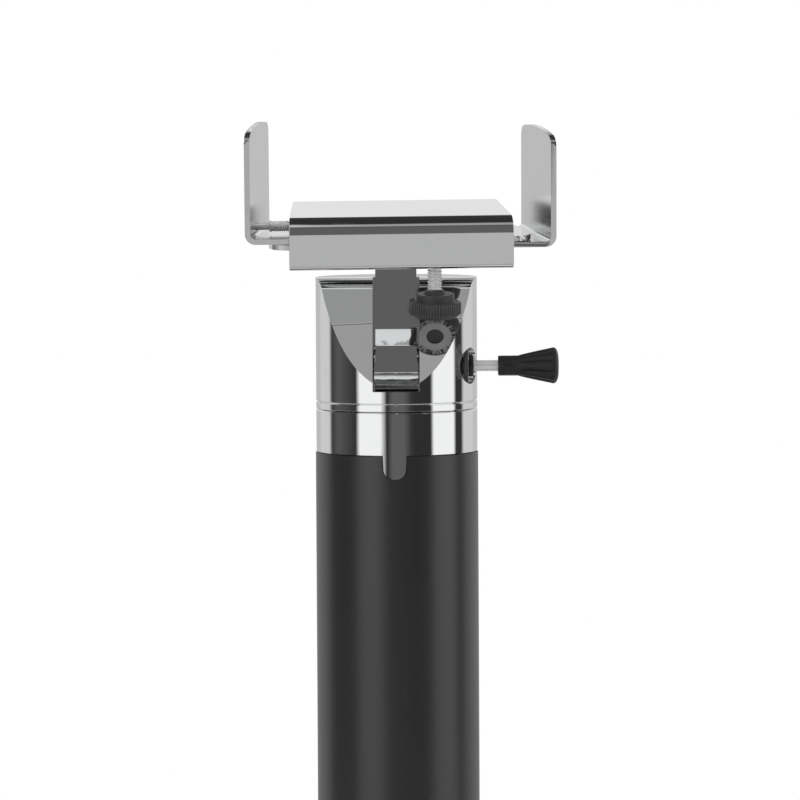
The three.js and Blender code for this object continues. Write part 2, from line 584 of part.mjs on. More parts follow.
// ---- Tilt clamp: thrust washer, bushing, screw through the hinge, and knob -----------------------
const thrustStart = THRUST_FACE + GAP;
const bushingStart = thrustStart + THRUST_THICKNESS + GAP;
const bushingEnd = bushingStart + BUSHING_LENGTH;
const thrust = ring(CLAMP_RADIUS + HOLE_PLAY, THRUST_RADIUS, thrustStart, thrustStart + THRUST_THICKNESS, 36);
place(stand, 'thrust_washer', atHinge(thrust), blackMetal);
const bushingBore = CLAMP_SHAFT_RADIUS + HOLE_PLAY;
const bushing = turned([
  [bushingBore, bushingStart],
  [BUSHING_RADIUS, bushingStart],
  [BUSHING_RADIUS, bushingEnd - 0.6],
  [BUSHING_RADIUS - 0.6, bushingEnd],
  [bushingBore, bushingEnd],
  [bushingBore, bushingStart],
], 24);
place(stand, 'clamp_bushing', atHinge(bushing), blackPlastic);
const knobBore = 14; // how far the shaft reaches into the knob
const clampScrew = turned([
  [0, -SLOT_HALF - TILT_NUT_HEIGHT - 4],
  [CLAMP_RADIUS - 0.6, -SLOT_HALF - TILT_NUT_HEIGHT - 4],
  [CLAMP_RADIUS, -SLOT_HALF - TILT_NUT_HEIGHT - 3.4],
  [CLAMP_RADIUS, bushingStart - GAP],
  [CLAMP_SHAFT_RADIUS, bushingStart - GAP],
  [CLAMP_SHAFT_RADIUS, CLAMP_KNOB_START + knobBore],
  [0, CLAMP_KNOB_START + knobBore],
], 24);
place(stand, 'tilt_clamp_screw', atHinge(clampScrew), steel);

const knobEnd = CLAMP_KNOB_START + CLAMP_KNOB_LENGTH;
const knobFlare = CLAMP_KNOB_START + 0.38 * CLAMP_KNOB_LENGTH;
const knobRim = CLAMP_KNOB_START + 0.92 * CLAMP_KNOB_LENGTH;
const knobHoleRadius = CLAMP_SHAFT_RADIUS + HOLE_PLAY;
const knobHoleEnd = CLAMP_KNOB_START + knobBore + GAP;
const knobBody = turned([
  [0, CLAMP_KNOB_START],
  [CLAMP_KNOB_NECK - 0.5, CLAMP_KNOB_START],
  [CLAMP_KNOB_NECK, CLAMP_KNOB_START + 0.5],
  [CLAMP_KNOB_NECK, knobFlare - 1.5],
  [CLAMP_KNOB_NECK + 0.5, knobFlare],
  [CLAMP_KNOB_END, knobRim],
  [CLAMP_KNOB_END - 0.4, knobRim + 0.6],
  [0.6 * CLAMP_KNOB_END, knobEnd - 0.3],
  [0, knobEnd],
], 40);
const flutes = [];
const fluteRadius = 1.5;
const fluteTilt = Math.atan2(CLAMP_KNOB_END - CLAMP_KNOB_NECK - 0.5, knobRim - knobFlare);
for (let i = 0; i < CLAMP_KNOB_FLUTES; i += 1) {
  const flute = rod(fluteRadius, 0, 0.7 * CLAMP_KNOB_LENGTH, 10).rotateY(fluteTilt);
  flute.translate(CLAMP_KNOB_NECK + 0.5 + fluteRadius - 0.45, 0, knobFlare - 0.5);
  flutes.push(flute.rotateZ(degrees((360 * i) / CLAMP_KNOB_FLUTES)));
}
const knobHole = rod(knobHoleRadius, CLAMP_KNOB_START - 1, knobHoleEnd, 24);
place(stand, 'tilt_clamp_knob', atHinge(build(knobBody, [], [...flutes, knobHole])), blackPlastic);

// ---- Channel: a folded sheet box, open at both tapered ends --------------------------------------
function channelOutline(inset) {
  const half = CHANNEL_HALF - inset;
  const bend = Math.max(CHANNEL_BEND - inset, 0.4);
  return roundedOutline([
    [-half, inset, bend],
    [half, inset, bend],
    [half, CHANNEL_HEIGHT - inset, bend],
    [-half, CHANNEL_HEIGHT - inset, CHANNEL_FRONT_BEND - inset],
  ]);
}

const channelBack = CHANNEL_LENGTH / 2 - CHANNEL_DEPTH * Math.tan(degrees(CHANNEL_TAPER));
const channelPlan = outline([
  [-CHANNEL_LENGTH / 2, -CHANNEL_HALF],
  [CHANNEL_LENGTH / 2, -CHANNEL_HALF],
  [channelBack, CHANNEL_HALF],
  [-channelBack, CHANNEL_HALF],
]);
const GUIDE_SCREW = 2;
const GUIDE_SCREW_X = 22;
const GUIDE_SCREW_Z = (LEGS_TOP + CEILING) / 2;
const GUIDE_SCREW_REACH = 9;
const behind = (geometry, x) => geometry.rotateX(-Math.PI / 2).translate(x, CHANNEL_HALF, GUIDE_SCREW_Z);
const guideHoles = [-GUIDE_SCREW_X, GUIDE_SCREW_X].map((x) =>
  behind(rod(GUIDE_SCREW + HOLE_PLAY, -GUIDE_SCREW_REACH - 1, 5, 20), x));
const channelHoles = armScrewX.map((x) =>
  rod(ARM_SCREW + HOLE_PLAY, -1, CHANNEL_WALL + 1, 24).translate(x, ARM_SCREW_Y, 0));
const thumbHole = rod(THUMB_RADIUS + HOLE_PLAY, -1, CHANNEL_WALL + 1, 24).translate(THUMB_X, THUMB_Y, 0);
const channelTube = build(
  acrossX(channelOutline(0), CHANNEL_LENGTH, 8),
  [],
  [acrossX(channelOutline(CHANNEL_WALL), CHANNEL_LENGTH + 2, 8), ...channelHoles, thumbHole, ...guideHoles],
);
const channelTrim = prism(channelPlan, CHANNEL_HEIGHT + 2).translate(0, 0, -1);
place(cradle, 'channel_body', common(channelTube, channelTrim), chrome);

armScrewX.forEach((x, i) => {
  const length = ARM_SCREW_REACH + FLOOR;
  const screw = socketScrew(ARM_SCREW, length, ARM_SCREW_HEAD, ARM_SCREW_HEAD_HEIGHT, 2.5);
  place(cradle, `arm_screw_${i + 1}`, screw.translate(x, ARM_SCREW_Y, FLOOR), steel);
});

// ---- Guides that the legs run between ------------------------------------------------------------
const shoeHalf = 7;
const nutHalf = 7.5;
const nutBack = THUMB_Y + 11;
const pocket = block(
  THUMB_X - nutHalf - GAP, THUMB_X + nutHalf + GAP,
  -GUIDE_Y - 1, nutBack + GAP,
  FLOOR - 1, LOWER_LEG,
);
const screwPockets = armScrewX.map((x) =>
  rod(ARM_SCREW_HEAD + GAP, FLOOR - 1, LOWER_LEG, 32).translate(x, ARM_SCREW_Y, 0));
const pinPlay = PIN_RADIUS + GAP;
const pinSlot = block(
  PIN_X - JAW_CLOSE - pinPlay, PIN_X + JAW_OPEN + pinPlay,
  PIN_Y - pinPlay, PIN_Y + pinPlay,
  FLOOR - 1, LOWER_LEG,
);
const lowerGuide = block(-GUIDE_HALF, GUIDE_HALF, -GUIDE_Y, GUIDE_Y, FLOOR, LOWER_LEG - GAP);
place(cradle, 'slide_guide_lower', build(lowerGuide, [], [pocket, ...screwPockets, pinSlot]), nylon);

const guideBottom = LEGS_TOP + GAP;
const stopStart = -GUIDE_HALF + STOP_WALL + JAW_OPEN + GAP;
const rodEnd = stopStart + STOP_LENGTH + 1;
const rodSlot = block(
  -GUIDE_HALF - 1, 0, ROD_Y - ROD_RADIUS - GAP, ROD_Y + ROD_RADIUS + GAP, guideBottom - 1, CEILING + 1,
);
const stopWindow = block(
  -GUIDE_HALF + STOP_WALL, rodEnd + JAW_CLOSE + GAP,
  ROD_Y - STOP_RADIUS - GAP, ROD_Y + STOP_RADIUS + GAP,
  guideBottom - 1, CEILING + 1,
);
const upperGuide = block(-GUIDE_HALF, GUIDE_HALF, GUIDE_TOP_FRONT, GUIDE_Y, guideBottom, CEILING);
place(cradle, 'slide_guide_upper', build(upperGuide, [], [rodSlot, stopWindow, ...guideHoles]), nylon);
[-GUIDE_SCREW_X, GUIDE_SCREW_X].forEach((x, i) => {
  const screw = socketScrew(GUIDE_SCREW, GUIDE_SCREW_REACH + GAP, 3.8, 2.2, 2.5).translate(0, 0, GAP);
  place(cradle, `guide_screw_${i + 1}`, behind(screw, x), steel);
});

// ---- Brackets: sheet bent up into a jaw plate, its leg trimmed square to the slide ----------------
// Drawn for the left bracket, with the channel's centre at x = 0 and the leg's underside at z = 0.
function bracket() {
  const length = JAW_REACH + LEG_END + JAW_DEPTH;
  const profile = new THREE.Shape();
  profile.moveTo(length, 0);
  profile.lineTo(JAW_BEND, 0);
  profile.absarc(JAW_BEND, JAW_BEND, JAW_BEND, -Math.PI / 2, -Math.PI, true);
  profile.lineTo(0, JAW_HEIGHT + 2);
  profile.lineTo(SHEET, JAW_HEIGHT + 2);
  profile.lineTo(SHEET, JAW_BEND);
  profile.absarc(JAW_BEND, JAW_BEND, JAW_BEND - SHEET, -Math.PI, -Math.PI / 2, false);
  profile.lineTo(length, SHEET);
  profile.closePath();
  const bent = prism(profile, 2 * JAW_DEPTH, 8)
    .rotateX(Math.PI / 2)
    .translate(0, JAW_DEPTH, 0)
    .rotateZ(-degrees(JAW_YAW))
    .translate(-JAW_REACH, 0, 0);
  const half = JAW_DEPTH / 2;
  const lean = Math.tan(degrees(JAW_YAW));
  const plan = roundedOutline([
    [-JAW_REACH - 30, -half, 0],
    [LEG_END + half * lean, -half, LEG_CORNER],
    [LEG_END - half * lean, half, LEG_CORNER],
    [-JAW_REACH - 30, half, 0],
  ]);
  const trim = prism(plan, JAW_HEIGHT + 4, 8).translate(0, 0, -1);
  const side = half / Math.cos(degrees(JAW_YAW));
  const face = new THREE.Shape();
  face.moveTo(-side, -1);
  face.lineTo(side, -1);
  face.lineTo(side, JAW_HEIGHT - JAW_CROWN - JAW_CORNER);
  face.quadraticCurveTo(side, JAW_HEIGHT - JAW_CROWN, side - JAW_CORNER, JAW_HEIGHT - 0.62 * JAW_CROWN);
  face.quadraticCurveTo(0, JAW_HEIGHT + 0.62 * JAW_CROWN, -side + JAW_CORNER, JAW_HEIGHT - 0.62 * JAW_CROWN);
  face.quadraticCurveTo(-side, JAW_HEIGHT - JAW_CROWN, -side, JAW_HEIGHT - JAW_CROWN - JAW_CORNER);
  face.closePath();
  const crown = acrossX(face, 2 * SHEET + 40, 12)
    .rotateZ(-degrees(JAW_YAW))
    .translate(-JAW_REACH, 0, 0);
  const leg = block(-JAW_REACH + 8, LEG_END + 30, -half - 5, half + 5, -1, SHEET + 1);
  const envelope = build(crown, [leg], []);
  return common(bent, trim, envelope);
}

const leftBracket = bracket().translate(0, 0, UPPER_LEG);
const toRod = (geometry) => alongX(geometry).translate(0, ROD_Y, ROD_Z);
const plateInner = -JAW_REACH + SHEET / Math.cos(degrees(JAW_YAW)) + ROD_Y * Math.tan(degrees(JAW_YAW));
const neckHole = toRod(rod(ROD_NECK + HOLE_PLAY, plateInner - 2 * SHEET, plateInner + SHEET, 24));
place(cradle, 'left_bracket', build(leftBracket, [], [neckHole]), chrome);
const mirrored = bracket();
mirrored.scale(-1, 1, 1);
const flipped = mirrored.index.array;
for (let i = 0; i < flipped.length; i += 3) [flipped[i], flipped[i + 1]] = [flipped[i + 1], flipped[i]];
mirrored.computeVertexNormals();
const pinHole = rod(PIN_RADIUS + HOLE_PLAY, LOWER_LEG - 1, LOWER_LEG + SHEET + 1, 24).translate(PIN_X, PIN_Y, 0);
place(cradle, 'right_bracket', build(mirrored.translate(0, 0, LOWER_LEG), [], [pinHole]), chrome);

const pin = turned([
  [0, FLOOR + 0.7],
  [PIN_RADIUS - 0.5, FLOOR + 0.7],
  [PIN_RADIUS, FLOOR + 1.2],
  [PIN_RADIUS, LOWER_LEG + SHEET],
  [0, LOWER_LEG + SHEET],
], 24);
place(cradle, 'stop_pin', pin.translate(PIN_X, PIN_Y, 0), steel);

// ---- Stop rod, its neck held in the left bracket's plate, with a stop collar ---------------
const rodStart = plateInner - 0.75 * SHEET;
const rodShoulder = plateInner + ROD_NECK_LENGTH;
const rodThread = -GUIDE_HALF + STOP_WALL;
const stopRod = turned([
  [0, rodStart],
  [ROD_NECK, rodStart],
  [ROD_NECK, rodShoulder],
  [ROD_RADIUS, rodShoulder],
  [ROD_RADIUS, rodThread],
  [ROD_CORE, rodThread + 1],
  [ROD_CORE, rodEnd],
  [0, rodEnd],
], 20);
place(cradle, 'stop_rod', toRod(stopRod), steel);
const stopRing = ring(ROD_CORE + HOLE_PLAY, STOP_RADIUS, stopStart, stopStart + STOP_LENGTH, 24);
place(cradle, 'stop_collar', toRod(stopRing), brass);

// ---- Thumb screw, nut and shoe that clamp the legs -----------------------------------------------
const nutBlock = block(THUMB_X - nutHalf, THUMB_X + nutHalf, -GUIDE_Y, nutBack, FLOOR, FLOOR + NUT_HEIGHT);
const nutHole = rod(THUMB_RADIUS + HOLE_PLAY, FLOOR - 1, FLOOR + NUT_HEIGHT + 1, 24).translate(THUMB_X, THUMB_Y, 0);
place(cradle, 'clamp_nut', build(nutBlock, [], [nutHole]), steel);

const shoeTop = LOWER_LEG - GAP;
const shoeBottom = shoeTop - SHOE_HEIGHT;
const tipRadius = THUMB_RADIUS - 0.8;
const shoeBlock = block(
  THUMB_X - shoeHalf, THUMB_X + shoeHalf, -GUIDE_Y + GAP, nutBack - GAP, shoeBottom, shoeTop,
);
const shoeDimple = rod(tipRadius + GAP, shoeBottom - 1, shoeBottom + 0.7, 24).translate(THUMB_X, THUMB_Y, 0);
place(cradle, 'clamp_shoe', build(shoeBlock, [], [shoeDimple]), brass);

const thumbTop = -THUMB_DROP;
const hubTop = thumbTop - THUMB_CONE_HEIGHT;
const rimTop = hubTop - THUMB_HUB_HEIGHT;
const rimBottom = rimTop - THUMB_RIM_HEIGHT;
const screwEnd = rimTop - 0.5 * THUMB_RIM_HEIGHT;
const thumbScrew = turned([
  [0, screwEnd],
  [THUMB_RADIUS, screwEnd],
  [THUMB_RADIUS, shoeBottom - 0.5],
  [tipRadius, shoeBottom - 0.1],
  [tipRadius, shoeBottom + 0.4],
  [0, shoeBottom + 0.4],
], 20);
place(cradle, 'thumb_screw', thumbScrew.translate(THUMB_X, THUMB_Y, 0), steel);

const teeth = new THREE.Shape();
const toothDepth = 0.45;
for (let i = 0; i < THUMB_TEETH; i += 1) {
  const step = (2 * Math.PI) / THUMB_TEETH;
  for (const [part, inset] of [[0, toothDepth], [0.3, 0], [0.7, 0]]) {
    const angle = (i + part) * step;
    const radius = THUMB_RIM_RADIUS - inset;
    const method = i + part === 0 ? 'moveTo' : 'lineTo';
    teeth[method](radius * Math.cos(angle), radius * Math.sin(angle));
  }
}
teeth.closePath();
const rimBlank = prism(teeth, THUMB_RIM_HEIGHT).translate(0, 0, rimBottom);
const rimChamfer = turned([
  [0, rimBottom],
  [THUMB_RIM_RADIUS - 1.6, rimBottom],
  [THUMB_RIM_RADIUS + 0.1, rimBottom + 1.7],
  [THUMB_RIM_RADIUS + 0.1, rimTop - 0.6],
  [THUMB_RIM_RADIUS - 0.6, rimTop],
  [0, rimTop],
], 40);
const hub = turned([
  [0, rimTop - 1],
  [THUMB_HUB_RADIUS, rimTop - 1],
  [THUMB_HUB_RADIUS, hubTop - 0.4],
  [THUMB_HUB_RADIUS - 0.4, hubTop],
  [THUMB_CONE_RADIUS, hubTop],
  [THUMB_CONE_RADIUS - 0.9, thumbTop],
  [0, thumbTop],
], 30);
const thumbBore = rod(THUMB_RADIUS + HOLE_PLAY, screwEnd - GAP, thumbTop + 1, 20);
const thumbKnob = build(common(rimBlank, rimChamfer), [hub], [thumbBore]);
place(cradle, 'thumb_knob', thumbKnob.translate(THUMB_X, THUMB_Y, 0), blackMetal);

export default stand;
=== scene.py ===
import json
import math

import bpy
from mathutils import Matrix, Vector


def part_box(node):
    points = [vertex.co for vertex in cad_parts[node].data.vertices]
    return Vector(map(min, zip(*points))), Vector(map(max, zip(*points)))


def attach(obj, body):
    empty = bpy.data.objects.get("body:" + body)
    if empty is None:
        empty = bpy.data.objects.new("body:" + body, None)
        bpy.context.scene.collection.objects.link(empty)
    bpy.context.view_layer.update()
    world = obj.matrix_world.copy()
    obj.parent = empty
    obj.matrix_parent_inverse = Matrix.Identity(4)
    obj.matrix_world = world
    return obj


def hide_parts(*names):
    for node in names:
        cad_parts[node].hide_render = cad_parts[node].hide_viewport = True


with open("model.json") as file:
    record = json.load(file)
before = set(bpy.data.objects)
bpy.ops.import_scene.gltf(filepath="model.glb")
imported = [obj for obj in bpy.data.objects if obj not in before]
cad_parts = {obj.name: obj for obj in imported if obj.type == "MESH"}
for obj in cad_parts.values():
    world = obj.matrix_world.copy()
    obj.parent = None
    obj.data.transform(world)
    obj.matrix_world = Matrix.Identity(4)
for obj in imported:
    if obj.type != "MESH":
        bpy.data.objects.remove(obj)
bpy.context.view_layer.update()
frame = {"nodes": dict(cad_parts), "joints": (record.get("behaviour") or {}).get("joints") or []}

# ---- Base plate -------------------------------------------------------------------------------
# A heavy cast-iron disc that keeps the column upright. Its rim is turned to a soft radius, it is
# blasted and powder coated satin black, and three counterbores underneath take the plug's screws.
MM = 0.001


def new_piece(name, vertices, faces):
    """An object at the origin whose mesh holds these corners, given in millimetres."""
    mesh = bpy.data.meshes.new(name)
    mesh.from_pydata([Vector(v) * MM for v in vertices], [], faces)
    mesh.update()
    piece = bpy.data.objects.new(name, mesh)
    bpy.context.scene.collection.objects.link(piece)
    return piece


def arc(centre, radius, start, end, steps=6):
    """Points along a circular arc, its angles in degrees."""
    angles = [math.radians(start + (end - start) * i / steps) for i in range(steps + 1)]
    return [(centre[0] + radius * math.cos(a), centre[1] + radius * math.sin(a)) for a in angles]


def turned(name, profile, sides=160, closed=False, reach=None):
    """A lathe shape about Z. The (radius, height) profile runs out, up and back in, in millimetres.

    A reach function makes it out of round: rows then also say how deep they are cut."""
    vertices, rings = [], []
    for radius, height, *cut in profile:
        start = len(vertices)
        if radius < 1e-6:
            vertices.append((0, 0, height))
            rings.append([start] * sides)
            continue
        rings.append(list(range(start, start + sides)))
        for k in range(sides):
            angle = 2 * math.pi * k / sides
            out = reach(radius, *cut, angle) if reach else radius
            vertices.append((out * math.cos(angle), out * math.sin(angle), height))
    if closed:
        rings.append(rings[0])
    faces = []
    for low, high in zip(rings, rings[1:]):
        for k in range(sides):
            n = (k + 1) % sides
            corners = list(dict.fromkeys([low[k], low[n], high[n], high[k]]))
            if len(corners) > 2:
                faces.append(corners)
    return new_piece(name, vertices, faces)


def cylinder(name, radius, low, high, sides=64):
    """A plain round bar, or a drill, along Z."""
    return turned(name, [(0, low), (radius, low), (radius, high), (0, high)], sides)


def apply_modifiers(piece):
    """Turns what the modifiers show into the piece's own plain mesh."""
    graph = bpy.context.evaluated_depsgraph_get()
    graph.update()
    mesh = bpy.data.meshes.new_from_object(piece.evaluated_get(graph))
    piece.modifiers.clear()
    piece.data = mesh
    mesh.name = piece.name


def carve(piece, *tools, operation="DIFFERENCE"):
    """Cuts, joins or trims a piece with other pieces, which are used up."""
    for tool in tools:
        modifier = piece.modifiers.new("carve", "BOOLEAN")
        modifier.operation = operation
        modifier.solver = "EXACT"
        modifier.object = tool
    apply_modifiers(piece)
    for tool in tools:
        bpy.data.objects.remove(tool)
    return piece


def soften(piece, width, segments=3, crease=32):
    """Rounds the edges sharper than the crease, and keeps the broad faces reading flat."""
    piece.data.shade_smooth()
    bevel = piece.modifiers.new("edges", "BEVEL")
    bevel.width = width * MM
    bevel.segments = segments
    bevel.limit_method = "ANGLE"
    bevel.angle_limit = math.radians(crease)
    bevel.miter_outer = "MITER_ARC"
    weighted = piece.modifiers.new("normals", "WEIGHTED_NORMAL")
    weighted.keep_sharp = True
    apply_modifiers(piece)
    return piece


def fit(piece, body, slot, material, *nodes, crease=32):
    """Gives a finished piece its finish, and hands it to its body in place of its nodes."""
    if not piece.data.has_custom_normals:
        piece.data.shade_smooth()
        piece.data.set_sharp_from_angle(angle=math.radians(crease))
    piece.data.materials.clear()
    piece.data.materials.append(material)
    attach(piece, body)
    if nodes:
        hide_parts(*nodes)
    return piece


class Wire:
    """A shader socket that ordinary arithmetic works on; each operation adds its Math node."""

    def __init__(self, shop, socket):
        self.shop = shop
        self.socket = socket

    def math(self, operation, first, second):
        return self.shop.node("ShaderNodeMath", {"operation": operation}, {0: first, 1: second})

    def __add__(self, other):
        return self.math("ADD", self, other)

    def __radd__(self, other):
        return self.math("ADD", other, self)

    def __sub__(self, other):
        return self.math("SUBTRACT", self, other)

    def __rsub__(self, other):
        return self.math("SUBTRACT", other, self)

    def __mul__(self, other):
        return self.math("MULTIPLY", self, other)

    def __rmul__(self, other):
        return self.math("MULTIPLY", other, self)


class Shop:
    """Builds the nodes of one finish."""

    def __init__(self, name):
        self.material = bpy.data.materials.new(name)
        self.material.use_nodes = True
        self.tree = self.material.node_tree
        self.shader = self.tree.nodes["Principled BSDF"]

    def node(self, kind, settings=None, inputs=None, output=0):
        made = self.tree.nodes.new(kind)
        for key, value in (settings or {}).items():
            if key == "stops":
                self.set_stops(made.color_ramp, value)
            else:
                setattr(made, key, value)
        for key, value in (inputs or {}).items():
            self.feed(made.inputs[key], value)
        return Wire(self, made.outputs[output])

    def set_stops(self, ramp, stops):
        while len(ramp.elements) > 1:
            ramp.elements.remove(ramp.elements[-1])
        for i, (position, shade) in enumerate(stops):
            element = ramp.elements[0] if i == 0 else ramp.elements.new(position)
            element.position = position
            element.color = (*shade, 1) if isinstance(shade, tuple) else (shade, shade, shade, 1)

    def feed(self, socket, value):
        if isinstance(value, Wire):
            self.tree.links.new(value.socket, socket)
        else:
            socket.default_value = value

    def place(self):
        return self.node("ShaderNodeTexCoord", output="Object")

    def noise(self, vector, scale, detail=2, rough=0.5):
        return self.node(
            "ShaderNodeTexNoise", None,
            {"Vector": vector, "Scale": scale, "Detail": detail, "Roughness": rough}, "Fac")

    def steps(self, value, low, high):
        """0 where the value is under low, 1 where it is over high, smooth between."""
        return self.node(
            "ShaderNodeMapRange", {"interpolation_type": "SMOOTHSTEP"},
            {"Value": value, "From Min": low, "From Max": high})

    def mix(self, first, second, mask):
        return self.node(
            "ShaderNodeMix", {"data_type": "RGBA", "clamp_factor": True},
            {0: mask, 6: first, 7: second}, 2)

    def bump(self, height, depth, strength=1.0):
        """Relief of that depth in millimetres."""
        return self.node(
            "ShaderNodeBump", None,
            {"Height": height, "Distance": depth * MM, "Strength": strength})

    def finish(self, **sockets):
        for name, value in sockets.items():
            self.feed(self.shader.inputs[name.replace("_", " ")], value)
        return self.material


def powder_coat():
    """Satin black powder coat: fine orange peel, faint cloudiness and a few dust-dulled spots."""
    shop = Shop("powder_coat_black")
    place = shop.place()
    peel = shop.noise(place, 1100, 2)
    grit = shop.noise(place, 4200, 1)
    cloud = shop.noise(place, 18, 3)
    dust = shop.steps(shop.noise(place, 240, 4, 0.7), 0.62, 0.78)
    colour = shop.mix((0.0075, 0.0075, 0.008, 1), (0.0105, 0.0105, 0.011, 1), cloud)
    return shop.finish(
        Base_Color=shop.mix(colour, (0.03, 0.03, 0.031, 1), dust * 0.35),
        Roughness=0.27 + cloud * 0.05 + grit * 0.04 + dust * 0.08,
        Normal=shop.bump(peel + grit * 0.35, 0.022, 0.55),
        IOR=1.75,
    )


black_coat = powder_coat()
low, high = (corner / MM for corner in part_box("base_plate"))
base_radius = high.x
rim = 3.0
toe = 1.0
plate = turned("base_plate_casting", [
    (0, low.z), *arc((base_radius - toe, low.z + toe), toe, -90, 0, 4),
    *arc((base_radius - rim, high.z - rim), rim, 0, 90, 10), (0, high.z)], 256)
counterbore = 5.5
counterbore_top = 8.5
bores = []
for node in ("plug_screw_1", "plug_screw_2", "plug_screw_3"):
    near, far = (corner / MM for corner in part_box(node))
    bore = cylinder("bore", counterbore, 0, counterbore_top, 48)
    bore.data.transform(Matrix.Translation(Vector((near.x + far.x, near.y + far.y, 0)) * MM / 2))
    bores.append(bore)
carve(plate, *bores)
fit(plate, "column", "black_coat", black_coat, "base_plate")

# ---- Rubber feet ------------------------------------------------------------------------------
# Four moulded rubber buttons on a circle under the plate, each with a recess for its screw. They
# are copies of one foot, stepped round the column's axis.


def geometry_node(tree, kind, settings=None, inputs=None):
    """One geometry node; an input is a value or another node's output socket."""
    made = tree.nodes.new(kind)
    for key, value in (settings or {}).items():
        setattr(made, key, value)
    for key, value in (inputs or {}).items():
        if isinstance(value, bpy.types.NodeSocket):
            tree.links.new(value, made.inputs[key])
        else:
            made.inputs[key].default_value = value
    return made


def new_tree(name, **inputs):
    """An empty geometry tree, and the sockets of its named inputs."""
    tree = bpy.data.node_groups.new(name, "GeometryNodeTree")
    for label, kind in inputs.items():
        tree.interface.new_socket(name=label, in_out="INPUT", socket_type=f"NodeSocket{kind}")
    return tree, geometry_node(tree, "NodeGroupInput").outputs


def tree_math(tree, operation, first, second=0.0):
    made = geometry_node(tree, "ShaderNodeMath", {"operation": operation}, {0: first, 1: second})
    return made.outputs[0]


def end_tree(tree, geometry, material):
    """Every tree ends alike: instances made real, the finish set, the result handed out."""
    tree.interface.new_socket(name="Geometry", in_out="OUTPUT", socket_type="NodeSocketGeometry")
    real = geometry_node(tree, "GeometryNodeRealizeInstances", None, {0: geometry})
    painted = geometry_node(
        tree, "GeometryNodeSetMaterial", None, {"Geometry": real.outputs[0], "Material": material})
    geometry_node(tree, "NodeGroupOutput", None, {0: painted.outputs[0]})


copies, given = new_tree(
    "copies_round_axis", Piece="Geometry", Count="Int", Radius="Float", Start="Float", Step="Float",
    Lean="Float", Finish="Material")
index = geometry_node(copies, "GeometryNodeInputIndex").outputs[0]
turn = tree_math(copies, "MULTIPLY", index, given["Step"])
angle = tree_math(copies, "ADD", turn, given["Start"])
step_x = tree_math(copies, "MULTIPLY", tree_math(copies, "COSINE", angle), given["Radius"])
step_y = tree_math(copies, "MULTIPLY", tree_math(copies, "SINE", angle), given["Radius"])
position = geometry_node(copies, "ShaderNodeCombineXYZ", None, {"X": step_x, "Y": step_y})
rotation = geometry_node(copies, "ShaderNodeCombineXYZ", None, {"Y": given["Lean"], "Z": angle})
points = geometry_node(
    copies, "GeometryNodePoints", None, {"Count": given["Count"], "Position": position.outputs[0]})
placed = geometry_node(copies, "GeometryNodeInstanceOnPoints", None, {
    "Points": points.outputs[0], "Instance": given["Piece"], "Rotation": rotation.outputs[0]})
end_tree(copies, placed.outputs[0], given["Finish"])


def run_tree(piece, tree, **values):
    """Sets the tree's named inputs on a piece and makes the result its plain mesh."""
    modifier = piece.modifiers.new(tree.name, "NODES")
    modifier.node_group = tree
    for socket in tree.interface.items_tree:
        if socket.in_out == "INPUT" and socket.name in values:
            modifier[socket.identifier] = values[socket.name]
    piece.update_tag()
    apply_modifiers(piece)
    return piece


def moulded_rubber():
    """Black rubber: matt, a little grey where it has scuffed, with a fine mould texture."""
    shop = Shop("moulded_rubber")
    place = shop.place()
    grain = shop.noise(place, 2600, 2)
    scuff = shop.steps(shop.noise(place, 160, 4, 0.65), 0.5, 0.75)
    return shop.finish(
        Base_Color=shop.mix((0.011, 0.011, 0.011, 1), (0.035, 0.034, 0.033, 1), scuff * 0.6),
        Roughness=0.72 + scuff * 0.14,
        Normal=shop.bump(grain, 0.03, 0.6),
    )


rubber = moulded_rubber()
near, far = (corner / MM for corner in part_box("foot_1"))
foot_radius = (far.x - near.x) / 2
foot_top = far.z
foot_middle = (near + far) / 2
recess = 4.0
recess_depth = 1.5
screw_hole = 2.3
foot = turned("rubber_feet", [
    (screw_hole, recess_depth), (recess, recess_depth), (recess, 0.35), (recess + 0.35, 0),
    *arc((foot_radius - 0.9, 0.9), 0.9, -90, 0, 6), (foot_radius, foot_top - 0.3),
    (foot_radius - 0.3, foot_top), (screw_hole, foot_top)], 64, closed=True)
run_tree(
    foot, copies, Count=4, Radius=foot_middle.xy.length * MM, Start=math.radians(45),
    Step=math.radians(90), Finish=rubber)
fit(foot, "column", "rubber", rubber, "foot_1", "foot_2", "foot_3", "foot_4")

# ---- Column tube ------------------------------------------------------------------------------
# Round steel tube, powder coated like the base. Its top edge is notched at the front for the cap
# ring's key, and two screws at the back of each end hold it.
KEY_TURN = math.radians(-1.2)
gap = 0.3
tube_low, tube_high = (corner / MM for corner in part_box("column_tube"))
tube_radius = tube_high.x
tube_wall = 2.5
tube_bore = tube_radius - tube_wall
tube_edge = 0.35


def extruded(name, outline, low, high, axis="Z"):
    """A prism of an outline drawn anticlockwise: (x, y) along Z, or (y, z) along X."""
    count = len(outline)
    vertices = []
    for level in (low, high):
        for a, b in outline:
            vertices.append((a, b, level) if axis == "Z" else (level, a, b))
    faces = [list(reversed(range(count))), list(range(count, 2 * count))]
    for k in range(count):
        n = (k + 1) % count
        faces.append([k, n, count + n, count + k])
    return new_piece(name, vertices, faces)


